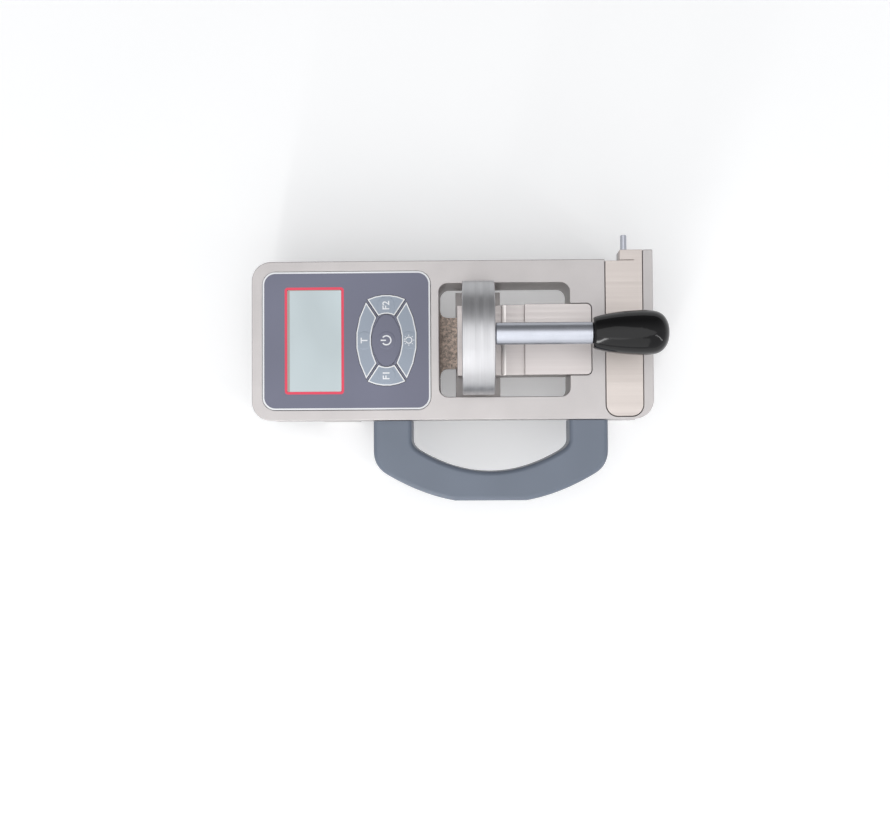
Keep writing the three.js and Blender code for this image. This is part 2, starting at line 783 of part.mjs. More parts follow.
// The cam's working flank is an involute, so a flat plunger follows the lever at a steady rate
function camOutline() {
  const points = [];
  for (let step = 0; step <= camSteps; step += 1) {
    const turn = (step / camSteps) * half(Math.PI);
    const reach = camMaximum - camRate * turn;
    const heading = -half(Math.PI) - turn;
    points.push([
      reach * Math.cos(heading) - camRate * Math.sin(heading),
      reach * Math.sin(heading) + camRate * Math.cos(heading),
    ]);
  }
  return points;
}

// The smallest convex outline round a set of points
function hull(points) {
  const sorted = [...points].sort((a, b) => a[0] - b[0] || a[1] - b[1]);
  const turn = (o, a, b) => (a[0] - o[0]) * (b[1] - o[1]) - (a[1] - o[1]) * (b[0] - o[0]);
  const chain = (list) => list.reduce((kept, point) => {
    while (kept.length > 1 && turn(kept[kept.length - 2], kept[kept.length - 1], point) <= 0) kept.pop();
    return [...kept, point];
  }, []).slice(0, -1);
  return [...chain(sorted), ...chain(sorted.reverse())];
}

function camDisc() {
  const hub = Array.from({ length: roundSides }, (_, index) => {
    const angle = (index / roundSides) * 2 * Math.PI;
    return [(camMinimum - gap) * Math.cos(angle), (camMinimum - gap) * Math.sin(angle)];
  });
  const outline = hull([...camOutline(), ...hub]).map(([x, z]) => [pivotX + x, pivotHeight + z]);
  const disc = bar(polygon(outline), [-half(camWidth), half(camWidth)]);
  return cut(disc, [crosswise(shaftRadius + slip, [-camWidth, camWidth], pivotX, pivotHeight, roundSides)]);
}

function plunger() {
  return join([
    upright(plungerHead, [plungerTop - plungerHeadHeight, plungerTop], pivotX, 0, roundSides),
    upright(plungerStem, [footTop - footSocket + gap, plungerTop - half(plungerHeadHeight)], pivotX, 0),
  ]);
}

// A helix of round wire, from the floor of the well to the underside of the plunger's head
class SpringCurve extends THREE.Curve {
  getPoint(t, target = new THREE.Vector3()) {
    const angle = t * springTurns * 2 * Math.PI;
    const low = -springWellDepth + gap + half(springWire);
    const high = plungerTop - plungerHeadHeight - gap - half(springWire);
    const z = low + t * (high - low);
    return target.set(springRadius * Math.cos(angle), springRadius * Math.sin(angle), z);
  }
}

// Prints the least gap between the spring's turns, measured on points of its curve
function reportSpringGap() {
  const points = new SpringCurve().getPoints(springSteps);
  const halfTurn = half(springSteps / springTurns);
  const gaps = points.flatMap((point, index) => points.slice(index + halfTurn)
    .map((other) => point.distanceTo(other) - springWire));
  console.log(`least gap between the spring's turns: ${Math.min(...gaps).toFixed(2)} mm`);
}

function returnSpring() {
  reportSpringGap();
  const wire = new THREE.Shape();
  wire.absarc(0, 0, half(springWire), 0, 2 * Math.PI);
  const settings = {
    steps: springSteps,
    bevelEnabled: false,
    curveSegments: cornerSteps,
    extrudePath: new SpringCurve(),
  };
  return solid(new THREE.ExtrudeGeometry(wire, settings).translate(pivotX, 0, 0));
}

// The pressure foot: flat above, with a round nose that bends the strap
function pressureFoot() {
  const [left, right] = [pivotX - half(footWidth), pivotX + half(footWidth)];
  const shape = new THREE.Shape();
  shape.moveTo(left, footTop);
  shape.lineTo(left, footTop - footEdge);
  shape.quadraticCurveTo(half(left + pivotX), footNose, pivotX, footNose);
  shape.quadraticCurveTo(half(right + pivotX), footNose, right, footTop - footEdge);
  shape.lineTo(right, footTop);
  const holes = bothSides.map((end) => upright(guideRadius + slip,
    [footTop - footSocket, footTop + over], pivotX, end * half(guideSpacing)));
  return cut(bar(shape, [-half(footLength), half(footLength)]), [
    upright(plungerStem + slip, [footTop - footSocket, footTop + over], pivotX, 0),
    ...holes,
  ]);
}

function guidePin(end) {
  return upright(guideRadius, [footTop - footSocket + gap, guideTop()], pivotX, end * half(guideSpacing));
}

// A hook in side view: a spine under the frame and an arm that passes under the strap
function strapHook(x) {
  const armTop = strapBarZ;
  const tip = frameBottom + hookReach;
  const shape = new THREE.Shape();
  shape.moveTo(frameBottom, hookBack);
  shape.lineTo(tip - hookTip, hookBack);
  shape.quadraticCurveTo(tip, hookBack, tip, armTop);
  shape.lineTo(frameBottom + hookSpine, armTop);
  shape.lineTo(frameBottom + hookSpine, frameBack - gap);
  shape.lineTo(frameBottom, frameBack - gap);
  const settings = { depth: hookWidth, bevelEnabled: false, curveSegments: cornerSteps };
  const geometry = new THREE.ExtrudeGeometry(shape, settings).rotateX(half(Math.PI)).rotateZ(half(Math.PI));
  return cut(solid(geometry.translate(x - half(hookWidth), 0, 0)), [
    crosswise(strapBarRadius + slip, strapBarSpan(gap), x, strapBarZ, roundSides),
    ...screwHoles(largeScrew, hookScrewPlaces(x), hookScrewSeat, hookScrewGrip),
  ]);
}

function strapBarSpan(grow) {
  return [frameBottom + hookSpine - grow, frameBottom + hookReach - hookTip + grow];
}

function strapBar(x) {
  return crosswise(strapBarRadius, strapBarSpan(0), x, strapBarZ, roundSides);
}

// The inlaid strip: round corners at its foot, and at its top a stepped nib with a shallow slit at its root
function endStrip() {
  const [left, right] = [stripX - half(stripWidth), stripX + half(stripWidth)];
  const [low, top] = [frameBottom + stripFoot, frameTop + nibRise];
  const shape = new THREE.Shape();
  shape.moveTo(left + stripRadius, low);
  shape.lineTo(right - stripRadius, low);
  shape.absarc(right - stripRadius, low + stripRadius, stripRadius, -half(Math.PI), 0);
  shape.lineTo(right, top);
  shape.lineTo(left + nibStep, top);
  shape.lineTo(left + nibStep, frameTop - stripShoulder);
  shape.lineTo(left, frameTop - stripShoulder);
  shape.lineTo(left, low + stripRadius);
  shape.absarc(left + stripRadius, low + stripRadius, stripRadius, Math.PI, 3 * half(Math.PI));
  const threads = stripScrewPlaces.map(([x, y]) => upright(mediumScrew.shank + gap,
    [-stripThickness - over, stripScrewSeat + mediumGrip + half(stripThickness) + gap], x, y));
  const slit = block([left + nibStep - over, left + nibStep + nibSlitLength],
    [frameTop - stripShoulder, frameTop - stripShoulder + nibSlitWidth], [-nibSlitDepth, over]);
  return cut(slab(shape, [-stripThickness, 0]), [
    slit,
    ...threads,
    crosswise(stopPinRadius + slip, [top - stopPinSeat - gap, top + over], stopPinX, stopPinZ),
  ]);
}

function stopPin() {
  const top = frameTop + nibRise;
  return crosswise(stopPinRadius, [top - stopPinSeat, top + stopPinReach], stopPinX, stopPinZ);
}

// Outline of the grip: two legs, bulging slants down to a flat, and the arched hand opening
function gripOutline() {
  const top = frameBottom - gap;
  const inner = gripHalf - gripLeg;
  const slantX = half(gripSlantX + gripFlat);
  const slantY = frameBottom - half(gripSlantY + gripDrop) - gripBulge;
  const steepness = (half(gripDrop - gripSlantY) + 2 * gripBulge) / (gripSlantX - slantX);
  const cornerY = frameBottom - gripSlantY + gripCorner * steepness;
  const shape = new THREE.Shape();
  shape.moveTo(gripX - inner, top);
  shape.lineTo(gripX - gripHalf, top);
  shape.lineTo(gripX - gripHalf, frameBottom - gripShoulder);
  shape.quadraticCurveTo(gripX - gripHalf, cornerY, gripX - gripSlantX, frameBottom - gripSlantY);
  bow(shape, [gripX - slantX, slantY], [gripX - gripFlat, frameBottom - gripDrop]);
  shape.lineTo(gripX + gripFlat, frameBottom - gripDrop);
  bow(shape, [gripX + slantX, slantY], [gripX + gripSlantX, frameBottom - gripSlantY]);
  shape.quadraticCurveTo(gripX + gripHalf, cornerY, gripX + gripHalf, frameBottom - gripShoulder);
  shape.lineTo(gripX + gripHalf, top);
  shape.lineTo(gripX + inner, top);
  shape.lineTo(gripX + inner, frameBottom - gripInnerCorner);
  bow(shape, [gripX, frameBottom - gripInnerDrop], [gripX - inner, frameBottom - gripInnerCorner]);
  return shape;
}

function handGrip() {
  const settings = {
    depth: gripThickness - 2 * gripEdge,
    bevelEnabled: true,
    bevelThickness: gripEdge,
    bevelSize: gripEdge,
    bevelOffset: -gripEdge,
    bevelSegments: edgeSteps,
    curveSegments: gripSteps,
  };
  const loop = new THREE.ExtrudeGeometry(gripOutline(), settings).translate(0, 0, frameBack + gripEdge);
  const top = frameBottom - gap;
  const feet = gripLegXs.flatMap((x) => {
    const across = [x - half(gripLeg) + slip, x + half(gripLeg) - slip];
    return [
      block(across, [top - gripFoot, top], [frameBack + slip, gripTop - slip]),
      block([x - half(gripLeg) + tongueInset, x + half(gripLeg) - tongueInset],
        [top - over, frameBottom + tongueLength], [frameBack, frameBack + tongueThickness]),
    ];
  });
  return cut(join([solid(loop), ...feet]),
    screwHoles(mediumScrew, tongueScrewPlaces, tongueScrewSeat, mediumGrip + tongueThickness));
}

function rearCover() {
  const plate = block([coverLeft, coverRight], [-coverHalf, coverHalf],
    [frameBack, frameBack + coverThickness]);
  return cut(plate, screwHoles(smallScrew, coverScrewPlaces, coverScrewSeat, smallGrip));
}

function batteryDoor() {
  const doorHalf = batteryHalf + doorTongue;
  const right = batteryRight + doorTongue;
  const face = block([frameLeft, right], [-doorHalf, doorHalf], [frameBack, frameBack + doorThickness]);
  const tongues = block([frameLeft, right], [-doorHalf - doorTongue, doorHalf + doorTongue],
    [frameBack + doorThickness - doorTongueThickness, frameBack + doorThickness]);
  const grips = Array.from({ length: doorGrips }, (_, index) => {
    const x = frameLeft + doorGripInset + index * doorGripPitch;
    return block([x, x + doorGripWidth], [-half(batteryHalf), half(batteryHalf)],
      [frameBack - over, frameBack + doorGripDepth]);
  });
  const corner = slab(roundedOutline(half(frameLeft + right), 0, right - frameLeft + 2 * gap,
    frameWidth, frameRadius), [frameBack - over, frameBack + doorThickness + over]);
  return cut(join([face, tongues]).intersect(corner), grips);
}

// The cells lie side by side across the frame and point opposite ways
function batteryCell(side) {
  const x = side > 0 ? lowCellX : lowCellX + cellPitch;
  const nip = span(0, side * (half(cellLength) + cellNip));
  return join([
    crosswise(cellRadius, [-half(cellLength), half(cellLength)], x, cellZ, roundSides),
    crosswise(cellNipRadius, nip, x, cellZ),
  ]);
}

function batteryContact(side) {
  const reach = half(cellLength) + cellNip + gap;
  return block([lowCellX - half(cellRadius), lowCellX + cellPitch + half(cellRadius)],
    span(side * reach, side * (reach + contactThickness)),
    [cellZ - half(cellRadius), cellZ + half(cellRadius)]);
}

// Finishes
function finish(color, roughness, metalness) {
  return new THREE.MeshStandardMaterial({ color, roughness, metalness });
}

const blastedAluminium = finish('#d3cecb', 0.45, 0.9);
const brushedAluminium = finish('#dcdcdd', 0.3, 1);
const satinSteel = finish('#d8dae2', 0.3, 1);
const darkSteel = finish('#6a6a6c', 0.5, 1);
const coated = finish('#887d76', 0.9, 0.1);
const gloss = finish('#16161a', 0.08, 0);
const slate = finish('#78828e', 0.6, 0);
const foilGrey = finish('#70727f', 0.5, 0);
const keyBlue = finish('#97a3b0', 0.5, 0);
const blackPlastic = finish('#2a2b2d', 0.55, 0);
const boardGreen = finish('#2f6b45', 0.6, 0);
const displayGrey = finish('#c0cccf', 0.4, 0);
const clear = finish('#dfe8ea', 0.1, 0);
const bronze = finish('#b08a4a', 0.4, 0.9);
const cellBlue = finish('#2c5f8a', 0.4, 0.3);

const pieces = [
  ['frame', frame(), blastedAluminium],
  ['end_strip', endStrip(), blastedAluminium],
  ['strap_stop_pin', stopPin(), satinSteel],
  ...screws('strip_screw', mediumScrew, stripScrewPlaces, stripScrewSeat - gap,
    mediumGrip + half(stripThickness)),
  ['keypad_foil', keypadFoil(), foilGrey],
  ['keypad_carrier', keypadCarrier(), blackPlastic],
  ...keys.map((each) => [each.name, key(each), each.name === 'key_power' ? foilGrey : keyBlue]),
  ['key_domes', domeSheet(), satinSteel],
  ['display_lens', displayLens(), clear],
  ['display_module', displayModule(), displayGrey],
  ['circuit_board', circuitBoard(), boardGreen],
  ['data_port', dataPort(), satinSteel],
  ['load_beam', loadBeam(), blastedAluminium],
  ['gauge_coat', gaugeCoat(), coated],
  ...screws('beam_screw', largeScrew, padScrewPlaces, padScrewSeat, padThickness),
  ...copies('pivot_bush', bothSides, pivotBush, bronze),
  ['pivot_shaft', pivotShaft(), satinSteel],
  ['lever_arch', leverArch(), brushedAluminium],
  ['lever_rod', leverRod(), satinSteel],
  ['lever_knob', leverKnob(), gloss],
  ['cam', camDisc(), darkSteel],
  ['plunger', plunger(), satinSteel],
  ['return_spring', returnSpring(), satinSteel],
  ['pressure_foot', pressureFoot(), brushedAluminium],
  ...copies('guide_pin', bothSides, guidePin, satinSteel),
  ['strap_hook_left', strapHook(leftHookX), brushedAluminium],
  ['strap_hook_right', strapHook(stripX), brushedAluminium],
  ['strap_bar_left', strapBar(leftHookX), satinSteel],
  ['strap_bar_right', strapBar(stripX), satinSteel],
  ...screws('hook_screw', largeScrew, hookPlaces, hookScrewSeat, hookScrewGrip),
  ['hand_grip', handGrip(), slate],
  ...screws('grip_screw', mediumScrew, tongueScrewPlaces, tongueScrewSeat, mediumGrip + tongueThickness),
  ['rear_cover', rearCover(), blackPlastic],
  ...screws('cover_screw', smallScrew, coverScrewPlaces, coverScrewSeat, smallGrip),
  ['battery_door', batteryDoor(), blackPlastic],
  ...copies('battery_cell', bothSides, batteryCell, cellBlue),
  ...copies('battery_contact', bothSides, batteryContact, satinSteel),
];

// The origin lies under the middle of the whole meter, on the surface that it rests on
const lowest = [frameLeft, frameBottom - gripDrop, hookBack];
const highest = [knobEnd, frameTop + nibRise + stopPinReach, 0];
const meter = new THREE.Group();
meter.name = 'lashing_tension_meter';
for (const [name, shape, material] of pieces) {
  const mesh = new THREE.Mesh(geometryOf(shape), material);
  mesh.name = name;
  mesh.position.set(-half(lowest[0] + highest[0]), -half(lowest[1] + highest[1]), -lowest[2]);
  meter.add(mesh);
}

export default meter;
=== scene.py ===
"""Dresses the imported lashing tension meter: its pieces, their finishes and a plain studio."""
import json
from math import atan2, cos, pi, radians, sin

import bmesh
import bpy
from mathutils import Matrix, Vector
from mathutils.geometry import interpolate_bezier


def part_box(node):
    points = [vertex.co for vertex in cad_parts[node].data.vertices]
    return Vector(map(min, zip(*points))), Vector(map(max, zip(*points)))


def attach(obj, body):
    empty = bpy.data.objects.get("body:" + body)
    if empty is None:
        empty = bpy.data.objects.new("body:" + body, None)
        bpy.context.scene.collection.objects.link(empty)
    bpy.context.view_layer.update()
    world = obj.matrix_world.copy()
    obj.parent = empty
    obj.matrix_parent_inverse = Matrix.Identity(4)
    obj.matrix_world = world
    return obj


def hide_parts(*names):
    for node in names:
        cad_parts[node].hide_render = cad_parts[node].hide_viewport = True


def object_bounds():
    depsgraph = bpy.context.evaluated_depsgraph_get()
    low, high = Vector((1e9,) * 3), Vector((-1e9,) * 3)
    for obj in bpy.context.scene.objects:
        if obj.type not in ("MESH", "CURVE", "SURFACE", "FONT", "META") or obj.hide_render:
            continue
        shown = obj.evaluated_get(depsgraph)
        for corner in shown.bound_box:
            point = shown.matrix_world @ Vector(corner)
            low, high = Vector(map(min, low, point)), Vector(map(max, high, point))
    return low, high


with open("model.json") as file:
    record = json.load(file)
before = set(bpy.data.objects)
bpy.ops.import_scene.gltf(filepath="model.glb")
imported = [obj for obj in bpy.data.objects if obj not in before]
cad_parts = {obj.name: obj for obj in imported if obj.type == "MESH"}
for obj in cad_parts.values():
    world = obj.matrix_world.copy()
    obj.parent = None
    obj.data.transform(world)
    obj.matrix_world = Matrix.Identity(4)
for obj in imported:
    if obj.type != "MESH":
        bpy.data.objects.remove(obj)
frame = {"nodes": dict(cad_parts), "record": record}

bl_info = {
    "name": "Lashing tension meter",
    "version": (1, 0, 0),
    "blender": (4, 5, 0),
    "location": "View3D > Sidebar > Tension meter",
    "description": "Builds the visible pieces of a lashing tension meter on its CAD frame",
    "category": "Object",
}

MM = 0.001
CAD_BOX = [list(corner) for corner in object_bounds()]
FLOOR_LEVEL = CAD_BOX[0][2]
BODY_OF = {node: body for body, nodes in frame["record"]["behaviour"]["bodies"].items() for node in nodes}

# Every finish by its name, filled in by main
MATERIALS = {}

# Range in which most values of a noise lie
NOISE_RANGE = {"From Min": 0.3, "From Max": 0.7}

# Places that differ by less, in metres, are the same.
TINY = 0.01 * MM

# Corners of a CAD node that are closer, in millimetres, are one, and so are faces that turn by fewer degrees.
SAME_CORNER, SAME_FACE = 0.004, 0.6

# Edges that turn by more degrees are sharp, and are broken.
SHARP = 40

# For each narrow key: the axis and the sense of its outer side, its depth at the middle and how far its
# legend lies outside the middle of its box, both in millimetres
NARROW_KEYS = {"key_tare": (0, -1, 7.7, 1.0), "key_lamp": (0, 1, 7.7, 1.25),
               "key_f1": (1, -1, 9.8, 0), "key_f2": (1, 1, 9.8, 0)}
LETTERS = {"key_tare": "T", "key_f1": "F1", "key_f2": "F2"}
LEGEND_THICKNESS = 0.06 * MM

# Millimetres along the outline of the hand grip, its heights counted down from the frame's edge
GRIP = {"leg": 20.3, "flat": 18.7, "shoulder": 16, "corner": 7, "slant": 28.6, "bulge": 1.9,
        "inner_drop": 13.6, "arch_drop": 27.3, "inner_corner": 3.2}
GRIP_GAP = 0.3 * MM

# Place in metres, turn in radians and focal length in millimetres, fitted to the photograph's edges
CAMERA_PLACE = (0.00838, -0.03814, 0.6526)
CAMERA_TURN = (0.02718, 0.02250, -0.00562)
CAMERA_LENS = 46.54

# Name, place, width and height in metres, and watts
LAMPS = (("Overhead softbox", (-0.1, -0.1, 1.0), 1.02, 1.02, 3.4),
         ("Front softbox", (-0.1, -0.85, 0.6), 0.94, 0.94, 2.2),
         ("Tall strip light", (-0.25, -0.8, 0.46), 0.06, 0.8, 1.9),
         ("Side strip light", (0.7, -0.405, 0.58), 0.05, 0.9, 1.2))


def linear(code):
    """An sRGB hex colour as linear red, green, blue and alpha."""
    parts = [int(code[at:at + 2], 16) / 255 for at in (0, 2, 4)]
    return [part / 12.92 if part <= 0.04045 else ((part + 0.055) / 1.055) ** 2.4 for part in parts] + [1.0]


def colour(label, code, text):
    """A colour that a user can change in the sidebar."""
    return bpy.props.FloatVectorProperty(name=label, description=text, default=linear(code)[:3], size=3,
                                         min=0, max=1, subtype="COLOR")


def length(label, millimetres, text):
    """A length that a user can change in the sidebar, kept in metres."""
    return bpy.props.FloatProperty(name=label, description=text, default=millimetres * MM, min=0,
                                   subtype="DISTANCE", unit="LENGTH", precision=5)


class MeterColours(bpy.types.PropertyGroup):
    """Colours of the meter's finishes"""
    aluminium: colour("Aluminium", "BDB9B8", "Blasted and anodised aluminium of the frame")
    beam: colour("Load beam", "CBC5C3", "Paler milled aluminium of the load beam")
    # Painted highlight on the load beam's lower step
    burnished: colour("Step highlight", "E3DEDB", "Painted highlight along the top of the beam's lower step")
    strip: colour("End strip", "C6BEB9", "Warmer grey of the inlaid end strip")
    brushed: colour("Brushed arch", "B6B6B8", "Brushed aluminium of the lever arch")
    steel: colour("Satin steel", "B2B5BD", "Satin plated steel of the rod and the pins")
    foil: colour("Foil", "6F7184", "Field of the printed keypad foil")
    keys: colour("Keys", "9CA6B4", "Printed fill of the four outer keys")
    prints: colour("White print", "F2F3F5", "Outlines and legends on the foil")
    signal: colour("Display line", "EB3F5C", "Line round the display")
    # Painted shade of the display window's recess
    window_shade: colour("Display shade", "A6A69F", "Painted shade of the window's recess, round the display cell")
    display: colour("Display", "C8D4D7", "Reflective face of the unpowered display")
    grip: colour("Grip", "6D7684", "Powder coat of the hand grip")
    knob: colour("Knob", "050506", "Thermoset of the lever knob")
    coat: colour("Gauge coat", "FFEBDC", "Sealing coat over the strain gauges")


class MeterSizes(bpy.types.PropertyGroup):
    """Broken edges and printed lines of the meter"""
    frame_edge: length("Frame edge", 0.45, "Rounding on the edges of the milled pieces")
    # Width of the painted highlight band on the load beam
    highlight_width: length("Step highlight width", 2.2, "Width of the burnished chamfer on the load beam's lower step")
    arch_edge: length("Arch edge", 0.6, "Rounding on the rims of the lever arch")
    fine_edge: length("Fine edge", 0.15, "Broken edge of screws and other small pieces")
    border: length("Foil border", 0.85, "Width of the white line along the foil's edge")
    key_line: length("Key outline", 0.62, "Width of the white line round a key")
    power_grow: length("Power key growth", 0.24, "How far the power key fills the gap to the foil round it")
    display_line: length("Display line", 1.35, "Width of the line round the display")
    # Band and rim of painted shade round the display
    window_shade_band: length("Display band", 1.5, "Width of the painted shade at the display's left")
    window_shade_rim: length("Display rim", 0.3, "Width of the painted shade on the display's other sides")
    print_rise: length("Print thickness", 0.03, "Height of a printed line over the foil")
    grip_edge: length("Grip edge", 2.6, "Rounding along the edges of the hand grip")


def sizes():
    """The sizes that the sidebar shows."""
    return bpy.context.scene.meter_sizes


def feed(tree, node, inputs):
    """Gives a node's inputs their values, or links them to the sockets that feed them."""
    for key, value in inputs.items():
        if isinstance(value, bpy.types.NodeSocket):
            tree.links.new(value, node.inputs[key])
        else:
            node.inputs[key].default_value = value


def add(tree, kind, settings=None, inputs=None):
    """Adds a shader node with its settings and its inputs."""
    made = tree.nodes.new("ShaderNode" + kind)
    for key, value in (settings or {}).items():
        setattr(made, key, value)
    feed(tree, made, inputs or {})
    return made


def blank(name):
    """A material with its output and one surface shader, whose inputs the caller sets."""
    material = bpy.data.materials.new(name)
    material.use_nodes = True
    tree = material.node_tree
    tree.nodes.clear()
    shader = add(tree, "BsdfPrincipled")
    add(tree, "OutputMaterial", inputs={"Surface": shader.outputs["BSDF"]})
    return material, tree, shader


def shade(rgb, factor):
    """A colour made lighter or darker, with its alpha."""
    return [min(part * factor, 1) for part in rgb[:3]] + [1]


def grain(tree, size, stretch=(1, 1, 1), detail=3, rough=0.5):
    """Noise whose grains are about `size` millimetres across, drawn out along an axis by `stretch`."""
    place = add(tree, "TexCoord")
    drawn = add(tree, "Mapping", inputs={"Vector": place.outputs["Object"],
                                         "Scale": [1 / (size * MM * part) for part in stretch]})
    noise = add(tree, "TexNoise", inputs={"Vector": drawn.outputs["Vector"], "Scale": 1.0,
                                          "Detail": detail, "Roughness": rough})
    return noise.outputs["Fac"]


def textured(tree, shader, rgb, tones, rough, relief=None, **plain):
    """Drives a shader's colour, roughness and relief by noise, and sets its other inputs plainly.

    `tones` holds a noise and the two shades that it gives, as shares of the colour; `rough` holds a noise and
    the two roughnesses that it gives; `relief` holds a noise, its depth in millimetres and its strength.
    """
    noise, dark, light = tones
    share = add(tree, "MapRange", inputs={"Value": noise, **NOISE_RANGE})
    tone = add(tree, "Mix", {"data_type": "RGBA"},
               {0: share.outputs["Result"], 6: shade(rgb, dark), 7: shade(rgb, light)})
    noise, least, most = rough
    matt = add(tree, "MapRange", inputs={"Value": noise, **NOISE_RANGE, "To Min": least, "To Max": most})
    feed(tree, shader, {"Base Color": tone.outputs[2], "Roughness": matt.outputs["Result"], **plain})
    if relief:
        noise, depth, strength = relief
        raised = add(tree, "Bump", inputs={"Height": noise, "Distance": depth * MM, "Strength": strength})
        feed(tree, shader, {"Normal": raised.outputs["Normal"]})


def blasted_aluminium(name, rgb):
    """Aluminium, glass-bead blasted and clear anodised: an even pale grey with a fine grain, no streaks."""
    material, tree, shader = blank(name)
    # Beads leave craters about 0.1 mm wide; they are drawn at 0.35 mm, because finer ones don't show.
    craters = grain(tree, 0.35, detail=2)
    clouds = grain(tree, 22, detail=2)
    textured(tree, shader, rgb, (clouds, 0.95, 1.03), (craters, 0.42, 0.54), (craters, 0.012, 0.6),
             Metallic=0.75)
    return material


def brushed_metal(name, rgb, along, contrast=0.10, width=0.22, rough=(0.24, 0.4)):
    """Metal finished with an abrasive belt: fine parallel lines along the given axes spread a highlight."""
    material, tree, shader = blank(name)
    stretch = [220 if axis in along else 1 for axis in "XYZ"]
    # Belt lines are 0.05 to 0.1 mm wide; they are drawn wider, because finer ones don't show.
    lines = grain(tree, width, stretch, detail=4, rough=0.65)
    streaks = grain(tree, 6 * width, stretch, detail=2)
    textured(tree, shader, rgb, (lines, 1 - contrast, 1 + contrast / 2), (streaks, *rough),
             (lines, 0.008, 0.5), Metallic=0.9)
    return material


def satin_metal(name, rgb, rough=0.29, metallic=0.95):
    """Ground and satin plated metal: soft bright highlights with faint grinding marks."""
    material, tree, shader = blank(name)
    marks = grain(tree, 0.3)
    clouds = grain(tree, 9)
    textured(tree, shader, rgb, (clouds, 0.94, 1.02), (marks, rough - 0.02, rough + 0.04), Metallic=metallic)
    return material


def moulded_plastic(name, rgb, rough=0.45, texture=0.25, depth=0.01):
    """Plastic moulded against a spark-eroded die: even colour with a fine matt texture."""
    material, tree, shader = blank(name)
    pits = grain(tree, texture, detail=2)
    clouds = grain(tree, 12)
    textured(tree, shader, rgb, (clouds, 0.96, 1.02), (pits, rough - 0.05, rough + 0.06), (pits, depth, 0.5),
             IOR=1.5)
    return material


def powder_coat(name, rgb):
    """Thin polyester powder coat: satin, with the faint ripple that the melted powder leaves."""
    material, tree, shader = blank(name)
    ripple = grain(tree, 0.9, detail=2)
    clouds = grain(tree, 30, detail=1)
    textured(tree, shader, rgb, (clouds, 0.95, 1.05), (ripple, 0.36, 0.46), (ripple, 0.02, 0.35), IOR=1.5)
    return material


def gloss_thermoset(name, rgb):
    """Phenolic resin polished in the mould: almost black, with sharp reflections and faint orange peel."""
    material, tree, shader = blank(name)
    peel = grain(tree, 3, detail=1)
    specks = grain(tree, 0.4, detail=2)
    textured(tree, shader, rgb, (specks, 1, 1.5), (specks, 0.07, 0.12), (peel, 0.012, 0.3), IOR=1.36)
    return material


def sealing_coat(name, rgb):
    """Brushed-on silicone with filler over the gauges: matt, mottled and lumpy, with painted shade along the
    frame.
    """
    material, tree, shader = blank(name)
    specks = grain(tree, 1.4, detail=4, rough=0.7)
    lumps = grain(tree, 1.6)
    pale = add(tree, "MapRange", inputs={"Value": specks, "From Min": 0.36, "From Max": 0.6, "To Min": 0.1})
    # Painted shade from the frame's wall fades out between 2.5 and 6 mm from the frame.
    place = add(tree, "TexCoord")
    across = add(tree, "SeparateXYZ", inputs={"Vector": place.outputs["Object"]})
    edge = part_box("gauge_coat")[0].x
    unshaded = add(tree, "MapRange", inputs={"Value": across.outputs["X"], "From Min": edge + 2.5 * MM,
                                          "From Max": edge + 6 * MM, "To Min": 0.1})
    # The speckle is multiplied by the painted shade, so the coat darkens towards the frame.
    level = add(tree, "Math", {"operation": "MULTIPLY"},
                {0: pale.outputs["Result"], 1: unshaded.outputs["Result"]})
    tone = add(tree, "Mix", {"data_type": "RGBA"}, {0: level.outputs["Value"], 6: shade(rgb, 0.3), 7: rgb})
    raised = add(tree, "Bump", inputs={"Height": lumps, "Distance": 0.3 * MM, "Strength": 0.8})
    feed(tree, shader, {"Base Color": tone.outputs[2], "Roughness": 0.85, "Normal": raised.outputs["Normal"]})
    return material


def printed_foil(name, rgb, rough=0.34):
    """Polyester overlay printed on its back: a flat colour seen through a finely textured satin face."""
    material, tree, shader = blank(name)
    texture = grain(tree, 0.3, detail=2)
    drift = grain(tree, 45, detail=1)
    textured(tree, shader, rgb, (drift, 0.93, 1.07), (texture, rough, rough + 0.08), (texture, 0.006, 0.4),
             IOR=1.52)
    return material


def reflective_display(name, rgb):
    """Reflective liquid crystal cell, switched off: silvery green, with a drifting tone behind glass."""
    material, tree, shader = blank(name)
    drift = grain(tree, 26, (1, 2, 1), detail=1)
    textured(tree, shader, rgb, (drift, 0.93, 1.08), (drift, 0.10, 0.16), IOR=1.5)
    return material


def solder_mask(name, rgb):
    """Epoxy solder mask over copper tracks: glossy green with slightly lighter lanes."""
    material, tree, shader = blank(name)
    place = add(tree, "TexCoord")
    # Track lanes are 2.54 mm apart, the common pitch of such boards; a scale of 1 draws them 1 / 3.2 m apart.
    lanes = add(tree, "TexWave", {"wave_type": "BANDS", "bands_direction": "X"},
                {"Vector": place.outputs["Object"], "Scale": 1 / (2.54 * MM * 3.2), "Distortion": 1.5})
    lane = lanes.outputs["Fac"]
    tone = add(tree, "Mix", {"data_type": "RGBA"}, {0: lane, 6: shade(rgb, 0.8), 7: shade(rgb, 1.25)})
    matt = add(tree, "MapRange", inputs={"Value": lane, "To Min": 0.25, "To Max": 0.35})
    feed(tree, shader, {"Base Color": tone.outputs[2], "Roughness": matt.outputs["Result"]})
    return material


